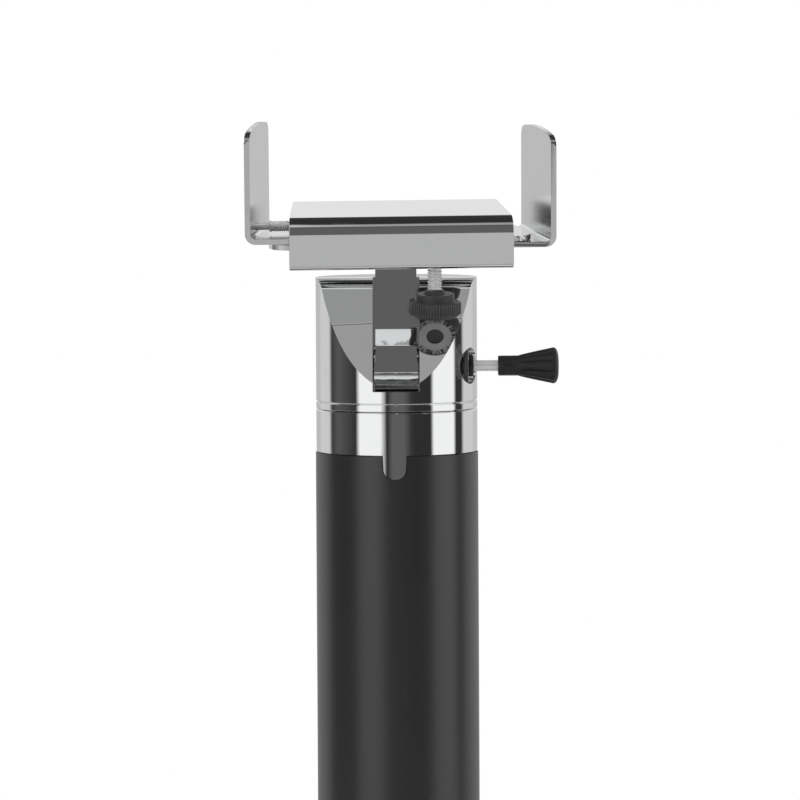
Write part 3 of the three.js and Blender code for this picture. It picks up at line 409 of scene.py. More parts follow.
def rounded(points, steps=10):
    """An outline whose corners (x, y, radius) are rounded."""
    outline = []
    for i, (x, y, radius) in enumerate(points):
        here = Vector((x, y))
        before = (Vector(points[i - 1][:2]) - here).normalized()
        after = (Vector(points[(i + 1) % len(points)][:2]) - here).normalized()
        if radius <= 0:
            outline.append((x, y))
            continue
        half = before.angle(after) / 2
        centre = here + (before + after).normalized() * (radius / math.sin(half))
        start = here + before * (radius / math.tan(half)) - centre
        end = here + after * (radius / math.tan(half)) - centre
        first = math.atan2(start.y, start.x)
        turn = (math.atan2(end.y, end.x) - first + math.pi) % (2 * math.pi) - math.pi
        outline += arc(centre, radius, math.degrees(first), math.degrees(first + turn), steps)
    return outline


def key_prism(width, depth, corner, inner, outer, root):
    """The key's or notch's outline, through the wall at the key's angle."""
    half = width / 2
    low = half - key_draft
    outline = rounded([(-low, -depth, corner), (low, -depth, corner), (half, root, 0), (-half, root, 0)], 12)
    prism = extruded("key", outline, inner, outer)
    stand_up = Matrix.Rotation(math.radians(90), 4, "X")
    prism.data.transform(
        Matrix.Rotation(KEY_TURN, 4, "Z") @ Matrix.Translation((0, 0, tube_high.z * MM)) @ stand_up)
    return prism


key_width = 10.7
key_draft = 0.8
key_depth = 9.9
key_corner = 4.2
tube = turned("column_tube_coated", [
    (tube_bore, tube_low.z + tube_edge), (tube_bore + tube_edge, tube_low.z),
    (tube_radius - tube_edge, tube_low.z), (tube_radius, tube_low.z + tube_edge),
    *[(tube_radius, tube_low.z + (tube_high.z - tube_low.z) * i / 4) for i in (1, 2, 3)],
    (tube_radius, tube_high.z - tube_edge), (tube_radius - tube_edge, tube_high.z),
    (tube_bore + tube_edge, tube_high.z), (tube_bore, tube_high.z - tube_edge)], 256, closed=True)
notch = key_prism(key_width + 2 * gap, key_depth + gap, key_corner + gap, tube_bore - 4, tube_radius + 3, 3)
carve(tube, notch)
soften(tube, 0.22, 2, crease=50)
fit(tube, "column", "black_coat", black_coat, "column_tube")

# ---- Screws at the back of the tube -----------------------------------------------------------
# Zinc-plated button-head socket screws, two into the plug at the bottom and two into the cap
# ring's spigot at the top. Each pair is one screw copied round the column.


def plated_steel(name="zinc_plated_steel", tone=1.0):
    """Zinc-plated steel: a soft grey sheen, fine turning marks and slightly dulled patches."""
    low, high = (0.8 * tone, 0.805 * tone, 0.81 * tone, 1), (0.9 * tone, 0.9 * tone, 0.895 * tone, 1)
    shop = Shop(name)
    place = shop.place()
    dull = shop.noise(place, 300, 3)
    fine = shop.noise(place, 5200, 2)
    return shop.finish(
        Base_Color=shop.mix(low, high, dull),
        Metallic=0.65,
        Roughness=0.3 + dull * 0.12 + fine * 0.05,
        Normal=shop.bump(fine, 0.006, 0.5),
    )


def hexagon(across_flats):
    corner = across_flats / math.sqrt(3)
    return arc((0, 0), corner, 30, 330, 5)


def button_screw(name, shank, length, head, height, socket):
    """A socket screw along -Z whose domed head stands on z = 0."""
    edge = 0.25
    dome = [(head, 0.3 * height)]
    for i in range(1, 9):
        part = i / 8
        crown = 0.3 + 0.7 * math.sin(part * math.pi / 2)
        dome.append((head - (head - socket * 0.72) * part, height * crown))
    screw = turned(name, [
        (0, -length), (shank - edge, -length), (shank, -length + edge), (shank, 0),
        (head - edge, 0), (head, edge), *dome, (0, height)], 64)
    carve(screw, extruded("socket", hexagon(socket), 0.4 * height, 2 * height))
    return soften(screw, 0.08, 2)


steel = plated_steel()
screw_spread = 40
for level in ("lower", "upper"):
    near, far = (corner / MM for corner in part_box(f"tube_screw_{level}_1"))
    screw = button_screw(
        f"tube_screws_{level}", shank=2.5, length=8, head=4.6, height=2.4, socket=3)
    run_tree(
        screw, copies, Count=2, Radius=(tube_radius + gap) * MM, Start=math.radians(90 - screw_spread),
        Step=math.radians(2 * screw_spread), Lean=math.radians(90), Finish=steel)
    screw.data.transform(Matrix.Translation((0, 0, (near.z + far.z) / 2 * MM)))
    fit(screw, "column", "steel", steel, f"tube_screw_{level}_1", f"tube_screw_{level}_2")

# ---- Cap ring ---------------------------------------------------------------------------------
# Turned ring that closes the tube: a spigot inside the bore, a polished band outside, and a key
# tongue that drops into the tube's notch so the ring can't turn. Polished and chrome plated.


def chrome_plate(name="polished_chrome", sheen=0.028, drawn=0.0):
    """Polished chrome: almost a mirror, with faint waviness, hairline rubs and finger haze.

    Drawn bar keeps long upright ripples under the plating."""
    shop = Shop(name)
    place = shop.place()
    haze = shop.steps(shop.noise(place, 55, 4, 0.6), 0.5, 0.8)
    wave = shop.noise(place, 42, 1)
    stretched = shop.node("ShaderNodeMapping", None, {"Vector": place, "Scale": (260, 260, 4200)})
    rubs = shop.noise(stretched, 1, 2)
    upright = shop.node("ShaderNodeMapping", None, {"Vector": place, "Scale": (170, 170, 9)})
    ripple = shop.noise(upright, 1, 2)
    return shop.finish(
        Base_Color=shop.mix((0.86, 0.865, 0.87, 1), (0.8, 0.81, 0.82, 1), haze * 0.5),
        Metallic=1.0,
        Roughness=sheen + haze * 0.05 + rubs * 0.012,
        Normal=shop.bump(wave + rubs * 0.004 + ripple * drawn, 0.09, 0.35),
    )


chrome = chrome_plate()
ring_low, ring_high = (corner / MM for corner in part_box("cap_ring"))
head_radius = ring_high.x
ring_bottom = tube_high.z + gap
spigot_radius = tube_bore - gap
ring_wall = 8.7
ring_inner = head_radius - ring_wall
web = 6
web_bottom = ring_high.z - web
bolt_hole = 5.3
glide_seat = 0.8
glide_recess = 29.3
band = 0.4
tongue_bottom = tube_high.z - key_depth
ring = turned("cap_ring_chromed", [
    (bolt_hole, web_bottom), (ring_inner, web_bottom), (ring_inner, ring_low.z),
    (spigot_radius - 1, ring_low.z), (spigot_radius, ring_low.z + 1), (spigot_radius, tongue_bottom - 0.5),
    (head_radius, tongue_bottom - 0.5), (head_radius, ring_bottom + 3), (head_radius, ring_high.z - band),
    (head_radius - band, ring_high.z), (glide_recess, ring_high.z), (glide_recess, ring_high.z - glide_seat),
    (bolt_hole, ring_high.z - glide_seat)], 256, closed=True)
skirt = turned("skirt", [
    (spigot_radius, tongue_bottom - 2), (head_radius + 2, tongue_bottom - 2),
    (head_radius + 2, ring_bottom), (spigot_radius, ring_bottom)], 200, closed=True)
carve(skirt, key_prism(key_width, key_depth, key_corner, spigot_radius - 3, head_radius + 5, 5))
carve(ring, skirt)
soften(ring, 0.3, 3, crease=40)
fit(ring, "column", "chrome", chrome, "cap_ring")

# ---- Head collar ------------------------------------------------------------------------------
# Zinc die casting that swivels on the ring. A steep face is cut down its front with a flared lip
# at the top, a slot down the middle holds the arm, and a line groove runs round it. Chrome plated.
seam_low, collar_high = (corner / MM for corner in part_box("head_collar"))
seam = seam_low.z
collar_top = collar_high.z
groove_height = 3.2
groove = 0.5
scoop_start = seam + 9.4
scoop_slope = 0.487
flare = 5.0
flare_back = 6.2
slot_half = 10
slot_floor = seam + 8.6
joints = {joint["name"]: joint for joint in frame["joints"]}
hinge = Vector(joints["head_tilt"]["pos_m"]) / MM
barrel_radius = 9.3
slot_back = hinge.y + barrel_radius + 2 * gap


def box_between(name, low, high):
    """A plain rectangular cutter."""
    (x0, y0, z0), (x1, y1, z1) = low, high
    return extruded(name, [(x0, y0), (x1, y0), (x1, y1), (x0, y1)], z0, z1)


def on_hinge(piece):
    """Lays a piece made along Z on the hinge axis, pointing to the right."""
    to_hinge = Matrix.Translation(Vector((0, hinge.y, hinge.z)) * MM)
    piece.data.transform(to_hinge @ Matrix.Rotation(math.pi / 2, 4, "Y"))
    return piece


def bend_points(start, pull, end, steps):
    """Points along a curve that leaves start towards pull and arrives at end."""
    points = []
    for i in range(1, steps + 1):
        part = i / steps
        weights = ((1 - part) ** 2, 2 * part * (1 - part), part ** 2)
        points.append(tuple(sum(w * p[axis] for w, p in zip(weights, (start, pull, end))) for axis in (0, 1)))
    return points


lip = 0.3
collar_foot = 0.35
collar = turned("head_collar_chromed", [
    (0, seam), (head_radius - collar_foot, seam), (head_radius, seam + collar_foot),
    (head_radius, seam + groove_height - groove),
    *arc((head_radius, seam + groove_height), groove, 270, 90, 6),
    (head_radius, seam + groove_height + groove + 3), (head_radius, collar_top - lip - 2),
    *arc((head_radius - lip, collar_top - lip), lip, 0, 90, 6), (0, collar_top)], 288)
start_y = -head_radius
end_y = start_y + scoop_slope * (collar_top - scoop_start)
bend_y = start_y + scoop_slope * (collar_top - flare - scoop_start)
scoop_bend = (bend_y, collar_top - flare)
scoop_pull = (start_y + scoop_slope * (collar_top - 0.2 * flare - scoop_start), collar_top - 0.2 * flare)
scoop_outline = [
    (start_y - 10, scoop_start - 10 / scoop_slope), scoop_bend,
    *bend_points(scoop_bend, scoop_pull, (end_y + flare_back, collar_top), 14),
    (end_y + flare_back, collar_top + 5), (start_y - 10, collar_top + 5)]
scoop = extruded("scoop", scoop_outline, -head_radius - 3, head_radius + 3, "X")
slot_cut = box_between(
    "slot", (-slot_half, -head_radius - 5, slot_floor), (slot_half, slot_back, collar_top + 5))
slit = box_between(
    "slit", (-0.3, -head_radius - 1, seam + groove_height), (0.3, -head_radius + 1.6, slot_floor + 2))
clamp_radius = 3
thrust_face = 28.6
thrust_radius = 7.35
clamp_hole = on_hinge(cylinder("hole", clamp_radius + gap, -24, 40))
thrust_seat = on_hinge(cylinder("seat", thrust_radius + 0.4, thrust_face, 40, 96))
carve(collar, scoop, slot_cut, slit, clamp_hole, thrust_seat)
soften(collar, 0.38, 4, crease=28)
fit(collar, "head", "chrome", chrome, "head_collar")

# ---- Tilt arm ---------------------------------------------------------------------------------
# Drawn steel bar that stands in the slot. The barrel at its foot turns on the clamp screw, with a
# washer let into each end. Its front steps back above the barrel, and its top is cut to the
# channel's slope. Chromed.
arm_half = 8.8
arm_front = 4.0
arm_back = 6.0
barrel_half = 9.4
barrel_face = 9.05
past_barrel = 12
flat_half = 4.5
friction_radius = 7.0
lift = Vector(joints["thumb_turn"]["axis"])
across = -Vector(joints["left_slide"]["axis"])
thumb_x, thumb_y = 14.3, -21.0
away = lift.cross(across)
cradle_origin = Vector(joints["thumb_turn"]["pos_m"]) / MM - across * thumb_x - away * thumb_y
cradle = Matrix.Translation(cradle_origin * MM) @ Matrix((across, away, lift)).transposed().to_4x4()
slope = math.acos(lift.z)


def arm_top(y):
    """How far the arm's sloping top is above the hinge."""
    return cradle_origin.z - gap / math.cos(slope) + y * math.tan(slope) - hinge.z


face_angle = math.degrees(math.atan2(-math.sqrt(barrel_radius ** 2 - barrel_face ** 2), -barrel_face))
back_angle = math.degrees(math.atan2(math.sqrt(barrel_radius ** 2 - arm_back ** 2), arm_back))
chin = (-barrel_face, 0.7 * barrel_radius)
brow = (-arm_front - 0.4, 1.7 * barrel_radius)
waist = [
    chin,
    *bend_points(chin, (-barrel_face, 0.93 * barrel_radius), (-0.93 * barrel_face, 1.02 * barrel_radius), 5),
    brow,
    *bend_points(brow, (-arm_front, 1.76 * barrel_radius), (-arm_front, 1.86 * barrel_radius), 5),
    (-arm_front, arm_top(-arm_front)), (arm_back, arm_top(arm_back))]
arm_outline = [*arc((0, 0), barrel_radius, face_angle, back_angle, 64), *reversed(waist)]
arm = extruded("tilt_arm_chromed", arm_outline, -arm_half, arm_half, "X")
arm.data.transform(Matrix.Translation(Vector((0, hinge.y, hinge.z)) * MM))
arm_chrome = chrome_plate("brushed_chrome", 0.05, 7.0)
barrel = on_hinge(cylinder("barrel", barrel_radius, -barrel_half, barrel_half, 128))
carve(arm, barrel, operation="UNION")
seats = [
    on_hinge(cylinder("washer_seat", friction_radius + gap, low, high, 96))
    for low, high in ((-past_barrel, -arm_half), (arm_half, past_barrel))]
flat = box_between(
    "flat", (-past_barrel, -40, hinge.z - flat_half),
    (past_barrel, hinge.y - barrel_face, hinge.z + flat_half))
bore = on_hinge(cylinder("bore", clamp_radius + gap, -past_barrel, past_barrel))
carve(arm, flat, *seats, bore)
soften(arm, 0.3, 3, crease=40)
fit(arm, "cradle", "chrome", arm_chrome, "tilt_arm")

# ---- Tilt clamp -------------------------------------------------------------------------------
# A long steel screw is the hinge pin and clamps the slot's walls. It carries a blackened thrust
# washer, a black nylon bushing and a moulded black knob with eight flutes and a domed end.


def moulded_black():
    """Black moulded nylon: a low sheen with a fine spark-eroded grain, paler where handled."""
    shop = Shop("moulded_black_nylon")
    place = shop.place()
    grain = shop.noise(place, 3400, 2)
    worn = shop.steps(shop.noise(place, 130, 4, 0.65), 0.5, 0.78)
    return shop.finish(
        Base_Color=shop.mix((0.0085, 0.0085, 0.009, 1), (0.024, 0.024, 0.024, 1), worn * 0.55),
        Roughness=0.42 + worn * 0.1,
        Normal=shop.bump(grain, 0.018, 0.5),
    )


def black_oxide():
    """Black-oxide steel: dark, oily and slightly brushed, with steel showing on handled edges."""
    shop = Shop("black_oxide_steel")
    place = shop.place()
    cloud = shop.noise(place, 220, 3)
    fine = shop.noise(place, 3000, 2)
    edge = shop.node("ShaderNodeNewGeometry", output="Pointiness")
    worn = shop.steps(edge + cloud * 0.05, 0.56, 0.66)
    return shop.finish(
        Base_Color=shop.mix((0.06, 0.06, 0.061, 1), (0.15, 0.15, 0.15, 1), worn * 0.6),
        Metallic=0.6,
        Roughness=0.36 + cloud * 0.1 - worn * 0.08,
        Normal=shop.bump(fine, 0.012, 0.5),
    )


black_plastic = moulded_black()
black_metal = black_oxide()
near, far = (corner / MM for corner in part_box("thrust_washer"))
thrust = on_hinge(turned("thrust_washer_blackened", [
    (clamp_radius + gap, near.x), (thrust_radius - 0.3, near.x), (thrust_radius, near.x + 0.3),
    (thrust_radius, far.x - 0.4), (thrust_radius - 0.4, far.x), (clamp_radius + gap, far.x)],
    128, closed=True))
fit(thrust, "clamp_thrust", "black_metal", black_metal, "thrust_washer")

shaft_radius = 2.3
near, far = (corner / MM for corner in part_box("clamp_bushing"))
bushing_radius = (far.z - near.z) / 2
bushing = on_hinge(turned("clamp_bushing_nylon", [
    (shaft_radius + gap, near.x), *arc((bushing_radius - 0.3, near.x + 0.3), 0.3, -90, 0, 3),
    *arc((bushing_radius - 0.7, far.x - 0.7), 0.7, 0, 90, 5), (shaft_radius + gap, far.x)], 96, closed=True))
fit(bushing, "tilt_clamp", "black_plastic", black_plastic, "clamp_bushing")

bushing_start = near.x
near, far = (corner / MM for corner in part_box("tilt_clamp_screw"))
pin = on_hinge(turned("tilt_clamp_pin", [
    (0, near.x), (clamp_radius - 0.6, near.x), (clamp_radius, near.x + 0.6),
    (clamp_radius, bushing_start - gap), (shaft_radius, bushing_start - gap),
    (shaft_radius, far.x - 0.3), (shaft_radius - 0.3, far.x), (0, far.x)], 96))
fit(pin, "tilt_clamp", "steel", steel, "tilt_clamp_screw")

near, far = (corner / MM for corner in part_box("tilt_clamp_knob"))
knob_neck = 4.3
knob_end = 7.75
flute_count = 8
flute_depth = 0.85


def knob_profile():
    """The knob's radius and how deep its flutes are, from the neck to the domed end."""
    start, length = near.x, far.x - near.x
    rows = [(0.0, 0, 0), (knob_neck - 0.55, 0, 0), (knob_neck - 0.15, 0.15, 0), (knob_neck, 0.55, 0)]
    rows += [(knob_neck, 0.2 * length, 0), (knob_neck + 0.02, 0.33 * length, 0)]
    for i in range(1, 25):
        part = i / 24
        radius = knob_neck + (knob_end - knob_neck) * (0.04 + 0.96 * part ** 0.92)
        depth = flute_depth * min(1, part * 4) * (1 - max(0, part - 0.9) * 4)
        rows.append((radius, (0.34 + 0.57 * part) * length, depth))
    crown = 0.09 * length
    for i in range(1, 13):
        part = i / 12
        radius = knob_end * math.cos(part * math.pi / 2) ** 0.55
        along = 0.91 * length + crown * math.sin(part * math.pi / 2)
        rows.append((radius if i < 12 else 0, along, flute_depth * 0.6 * (1 - part)))
    return [(radius, start + along, depth) for radius, along, depth in rows]


def fluted(radius, depth, angle):
    """The knob's radius at an angle, which is less inside the flutes."""
    ridge = abs(math.cos(angle * flute_count / 2)) ** 0.7
    return radius - depth * (1 - ridge)


knob = on_hinge(turned("tilt_clamp_knob_fluted", knob_profile(), 192, reach=fluted))
fit(knob, "tilt_clamp", "black_plastic", black_plastic, "tilt_clamp_knob", crease=45)

# ---- Channel ----------------------------------------------------------------------------------
# Two-millimetre steel sheet folded into a box, with a broad bend along the top front edge and
# tight bends elsewhere. Both ends are open and sheared a little narrower at the back. Chromed.
channel_half = 47.5
channel_height = 22.0
channel_depth = 56.0
channel_wall = 2.0
front_bend = 7.0
tight_bend = 2.4
taper = math.tan(math.radians(3.8))


def channel_outline(inset):
    """The channel's section, drawn that far inside its outer face."""
    half = channel_depth / 2 - inset
    bend = tight_bend - inset if inset < tight_bend else 0.4
    return rounded([
        (-half, inset, bend), (half, inset, bend),
        (half, channel_height - inset, bend), (-half, channel_height - inset, front_bend - inset)], 20)


def channel_end(y, side):
    """How far out an end is sheared at that depth."""
    return side * (channel_half - (y + channel_depth / 2) * taper)


outer, inner = channel_outline(0), channel_outline(channel_wall)
count = len(outer)
vertices = []
for outline in (outer, inner):
    for side in (-1, 1):
        vertices += [(channel_end(y, side), y, z) for y, z in outline]
faces = []
for k in range(count):
    n = (k + 1) % count
    faces.append([k, n, count + n, count + k])
    faces.append([2 * count + n, 2 * count + k, 3 * count + k, 3 * count + n])
    faces.append([n, k, 2 * count + k, 2 * count + n])
    faces.append([count + k, count + n, 3 * count + n, 3 * count + k])
channel = new_piece("channel_chromed", vertices, faces)
thumb_radius = 3.175
thumb_hole = cylinder("hole", thumb_radius + gap, -1, channel_wall + 1)
thumb_hole.data.transform(Matrix.Translation(Vector((thumb_x, thumb_y, 0)) * MM))
carve(channel, thumb_hole)
soften(channel, 0.28, 3, crease=40)
channel.data.transform(cradle)
fit(channel, "cradle", "chrome", chrome, "channel_body")

# ---- Guide screws -----------------------------------------------------------------------------
# Two small zinc-plated button-head screws through the channel's back wall, at mid height of the
# upper nylon guide that they hold.
guide_height = 16.3
for number in (1, 2):
    near, far = (cradle.inverted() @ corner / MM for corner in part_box(f"guide_screw_{number}"))
    screw = button_screw(
        f"guide_screw_{number}_plated", shank=2.0, length=8.0, head=3.8, height=2.2, socket=2.5)
    seat = Matrix.Translation(Vector(((near.x + far.x) / 2, channel_depth / 2 + gap, guide_height)) * MM)
    screw.data.transform(cradle @ seat @ Matrix.Rotation(-math.pi / 2, 4, "X"))
    fit(screw, "cradle", "steel", steel, f"guide_screw_{number}")

# ---- Brackets ---------------------------------------------------------------------------------
# Each jaw is one strip of sheet bent up square. The plate is set at an angle to the leg, with a
# crowned top and rounded corners; the legs lie one over the other in the channel. Satin chromed.
sheet = 2.3
jaw_depth = 44.0
jaw_height = 48.7
jaw_crown = 2.4
jaw_corner = 4.5
jaw_bend = 4.5
jaw_yaw = math.radians(12)
jaw_reach = 61.3
leg_end = 52.8
leg_corner = 8.0
lower_leg = 8.0
upper_leg = lower_leg + sheet + gap


def bracket(name):
    """The left bracket, with the channel's middle at x = 0 and its leg's underside at z = 0."""
    long = jaw_reach + leg_end + jaw_depth
    half = jaw_depth / 2
    profile = [
        (long, 0), (long, sheet), *arc((jaw_bend, jaw_bend), jaw_bend - sheet, -90, -180, 10),
        (sheet, jaw_height + 2), (0, jaw_height + 2), *arc((jaw_bend, jaw_bend), jaw_bend, -180, -90, 14)]
    bent = extruded(name, profile, -jaw_depth, jaw_depth)
    yaw = Matrix.Translation((-jaw_reach * MM, 0, 0)) @ Matrix.Rotation(-jaw_yaw, 4, "Z")
    bent.data.transform(yaw @ Matrix.Rotation(math.pi / 2, 4, "X"))
    lean = math.tan(jaw_yaw)
    plan = rounded([
        (-jaw_reach - 30, -half, 0), (leg_end + half * lean, -half, leg_corner),
        (leg_end - half * lean, half, leg_corner), (-jaw_reach - 30, half, 0)], 12)
    side = half / math.cos(jaw_yaw)
    shoulder = jaw_height - jaw_crown
    bulge = 0.62 * jaw_crown
    knee, crest = (side, shoulder - jaw_corner), (side - jaw_corner, jaw_height - bulge)
    peak = (0, jaw_height + bulge)
    far_knee, far_crest = (-knee[0], knee[1]), (-crest[0], crest[1])
    face = [
        (-side, -1), (side, -1), knee, *bend_points(knee, (side, shoulder), crest, 8),
        *bend_points(crest, peak, far_crest, 12), *bend_points(far_crest, (-side, shoulder), far_knee, 8)]
    crown = extruded("crown", face, -30, 20, "X")
    crown.data.transform(yaw)
    leg = box_between("leg", (-jaw_reach + 8, -half - 5, -1.5), (leg_end + 30, half + 5, sheet + 1.5))
    carve(crown, leg, operation="UNION")
    return carve(bent, extruded("plan", plan, -2, jaw_height + 3), crown, operation="INTERSECT")


satin_chrome = chrome_plate("satin_chrome", 0.2)
rod_y = -7.5
rod_height = 3.2
rod_z = upper_leg + sheet + gap + rod_height
rod_radius = 2.4
neck_radius = 1.5
plate_inner = -jaw_reach + sheet / math.cos(jaw_yaw) + rod_y * math.tan(jaw_yaw)


def along_slide(piece):
    """Lays a piece made along Z on the rod's line, pointing to the right."""
    to_line = Matrix.Translation(Vector((0, rod_y, rod_z)) * MM)
    piece.data.transform(to_line @ Matrix.Rotation(math.pi / 2, 4, "Y"))
    return piece


left = bracket("left_bracket_chromed")
left.data.transform(Matrix.Translation((0, 0, upper_leg * MM)))
neck_hole = cylinder("neck_hole", neck_radius + gap, plate_inner - 2 * sheet, plate_inner + sheet)
carve(left, along_slide(neck_hole))
left.data.transform(cradle)
soften(left, 0.3, 3, crease=35)
fit(left, "left_jaw", "chrome", satin_chrome, "left_bracket")
right = bracket("right_bracket_chromed")
right.data.transform(cradle @ Matrix.Translation((0, 0, lower_leg * MM)) @ Matrix.Diagonal((-1, 1, 1, 1)))
right.data.flip_normals()
soften(right, 0.3, 3, crease=35)
fit(right, "right_jaw", "chrome", satin_chrome, "right_bracket")

# ---- Stop rod ---------------------------------------------------------------------------------
# Steel rod whose turned-down neck is riveted into the left bracket's plate. It is threaded along
# its thick part, and a brass collar further in meets the guide when the bracket is right out.
thread, given = new_tree(
    "screw_thread", Core="Float", Pitch="Float", Length="Float", Ridge="Float", Finish="Material")
spiral = geometry_node(thread, "GeometryNodeCurveSpiral", None, {
    "Resolution": 40, "Rotations": tree_math(thread, "DIVIDE", given["Length"], given["Pitch"]),
    "Start Radius": given["Core"], "End Radius": given["Core"], "Height": given["Length"]})
upright = geometry_node(thread, "GeometryNodeSetCurveNormal", {"mode": "Z_UP"}, {"Curve": spiral.outputs[0]})
ridge = geometry_node(thread, "GeometryNodeCurvePrimitiveCircle", {"mode": "RADIUS"}, {
    "Resolution": 4, "Radius": tree_math(thread, "MULTIPLY", given["Pitch"], given["Ridge"])})
swept = geometry_node(thread, "GeometryNodeCurveToMesh", None, {
    "Curve": upright.outputs[0], "Profile Curve": ridge.outputs["Curve"], "Fill Caps": True})
core = geometry_node(thread, "GeometryNodeMeshCylinder", None, {
    "Vertices": 64, "Radius": given["Core"], "Depth": given["Length"]})
raised = geometry_node(thread, "ShaderNodeCombineXYZ", None, {
    "Z": tree_math(thread, "MULTIPLY", given["Length"], 0.5)})
core_up = geometry_node(thread, "GeometryNodeTransform", None, {
    "Geometry": core.outputs["Mesh"], "Translation": raised.outputs[0]})
joined = geometry_node(thread, "GeometryNodeJoinGeometry", None, {0: swept.outputs[0]})
thread.links.new(core_up.outputs[0], joined.inputs[0])
end_tree(thread, joined.outputs[0], given["Finish"])


def threaded(name, core, pitch, length, ridge, finish):
    """A length of screw thread standing on z = 0."""
    piece = new_piece(name, [(0, 0, 0)], [])
    return run_tree(
        piece, thread, Core=core * MM, Pitch=pitch * MM, Length=length * MM, Ridge=ridge, Finish=finish)


rod_start = plate_inner - 0.75 * sheet
rod_neck = 5.4
rod_shoulder = plate_inner + rod_neck
rod_thread = -26.0
rod_end = 15.3
rod_core = 2.0
rod_pitch = 0.9
rod_ridge = (rod_radius - rod_core) / rod_pitch
rod = along_slide(turned("stop_rod_turned", [
    (0, rod_start), (neck_radius, rod_start), (neck_radius, rod_shoulder), (rod_radius - 0.25, rod_shoulder),
    (rod_radius - 0.05, rod_shoulder + 0.2), (rod_radius - 0.05, rod_shoulder + 0.7),
    (rod_core, rod_shoulder + 1.2),
    (rod_core, rod_end - 0.3), (rod_core - 0.3, rod_end), (0, rod_end)], 96))
rod.data.transform(cradle)
fit(rod, "left_jaw", "steel", steel, "stop_rod", crease=60)
rod_ridges = threaded(
    "stop_rod_thread", rod_core - 0.02, rod_pitch, rod_thread - rod_shoulder - 1.4, rod_ridge, steel)
rod_ridges.data.transform(Matrix.Translation((0, 0, (rod_shoulder + 0.9) * MM)))
along_slide(rod_ridges).data.transform(cradle)
fit(rod_ridges, "left_jaw", "steel", steel, crease=60)

# ---- Thumb screw ------------------------------------------------------------------------------
# Quarter-inch screw with a turned, black-oxide head: a short cone, a plain hub, a rim knurled
# straight with sixty ridges and an underside faced back to bright steel. Its tip lifts a brass
# shoe that pins both legs against the guide.


def at_thumb(piece):
    """Moves a piece made along Z onto the thumb screw's line."""
    piece.data.transform(cradle @ Matrix.Translation(Vector((thumb_x, thumb_y, 0)) * MM))
    return piece


bare_thread = 9.9
cone_foot = 4.6
cone_tip = 3.85
cone_height = 1.5
hub_height = 3.3
rim_height = 6.9
hub_radius = 8.4
rim_radius = 11.2
ridge_radius = 0.42
ridge_count = 60
hub_top = -bare_thread - cone_height
rim_top = hub_top - hub_height
rim_bottom = rim_top - rim_height
head_body = turned("thumb_head", [
    (0, rim_bottom + 0.5), (rim_radius - 4.6, rim_bottom + 0.5), (rim_radius - 4.2, rim_bottom),
    (rim_radius - 1.9, rim_bottom), (rim_radius - ridge_radius, rim_bottom + 1.7),
    (rim_radius - ridge_radius, rim_top - 0.7), (rim_radius - ridge_radius - 0.7, rim_top),
    (hub_radius + 0.3, rim_top), (hub_radius, rim_top + 0.3), (hub_radius, hub_top - 0.45),
    (hub_radius - 0.45, hub_top), (cone_foot + 0.3, hub_top), (cone_foot, hub_top + 0.2),
    (cone_tip, -bare_thread),
    (0, -bare_thread)], 160)
soften(head_body, 0.12, 2, crease=25)
ridge_low, ridge_high = rim_bottom + 1.35, rim_top - 0.45
knurl = turned("knurl", [
    (0, ridge_low), (0.5 * ridge_radius, ridge_low + 0.2), (ridge_radius, ridge_low + 0.75),
    (ridge_radius, ridge_high - 0.5), (0.4 * ridge_radius, ridge_high), (0, ridge_high)], 10)
run_tree(
    knurl, copies, Count=ridge_count, Radius=(rim_radius - ridge_radius) * MM,
    Step=2 * math.pi / ridge_count, Finish=black_metal)
fit(at_thumb(head_body), "leg_clamp", "black_metal", black_metal, "thumb_knob")
fit(at_thumb(knurl), "leg_clamp", "black_metal", black_metal)
facing_inner = 3.7
facing_outer = rim_radius - 2.0
facing_edge = 0.1
facing_depth = 0.3
facing = turned("thumb_head_facing", [
    (facing_inner, rim_bottom + facing_depth), (facing_inner, rim_bottom + facing_edge),
    (facing_inner + facing_edge, rim_bottom), (facing_outer - facing_edge, rim_bottom),
    (facing_outer, rim_bottom + facing_edge), (facing_outer, rim_bottom + facing_depth)], 128, closed=True)
fit(at_thumb(facing), "leg_clamp", "steel", plated_steel("faced_steel", 0.42))

thumb_pitch = 1.27
thumb_ridge = 0.45
screw_low = rim_top
screw_high = 5.4
bolt = threaded(
    "thumb_screw_threaded", thumb_radius - thumb_pitch * thumb_ridge, thumb_pitch,
    screw_high - screw_low, thumb_ridge, steel)
bolt.data.transform(Matrix.Translation((0, 0, screw_low * MM)))
fit(at_thumb(bolt), "leg_clamp", "steel", steel, "thumb_screw", crease=60)

# ---- Pieces that keep their modelled shape ----------------------------------------------------
# Plug, swivel hardware, washers, nuts, guides, brass shoe, stop collar and small screws are plain
# turned or cut stock, mostly out of sight, so only their finishes are set.


def natural_nylon():
    """Cream machined nylon with faint saw marks and a waxy sheen."""
    shop = Shop("natural_nylon")
    place = shop.place()
    sawn = shop.node("ShaderNodeMapping", None, {"Vector": place, "Scale": (900, 120, 900)})
    marks = shop.noise(sawn, 1, 2)
    return shop.finish(
        Base_Color=shop.mix((0.62, 0.59, 0.5, 1), (0.72, 0.7, 0.62, 1), marks),
        Roughness=0.42 + marks * 0.12,
        Normal=shop.bump(marks, 0.02, 0.4),
        Subsurface_Weight=0.08,
    )


def turned_brass():
    """Bar brass with turning lines, dulled to brown in places."""
    shop = Shop("turned_brass")
    place = shop.place()
    tarnish = shop.steps(shop.noise(place, 180, 4, 0.6), 0.45, 0.75)
    lines = shop.noise(place, 3600, 2)
    return shop.finish(
        Base_Color=shop.mix((0.68, 0.47, 0.18, 1), (0.36, 0.24, 0.1, 1), tarnish * 0.6),
        Metallic=1.0,
        Roughness=0.26 + tarnish * 0.16,
        Normal=shop.bump(lines, 0.01, 0.5),
    )


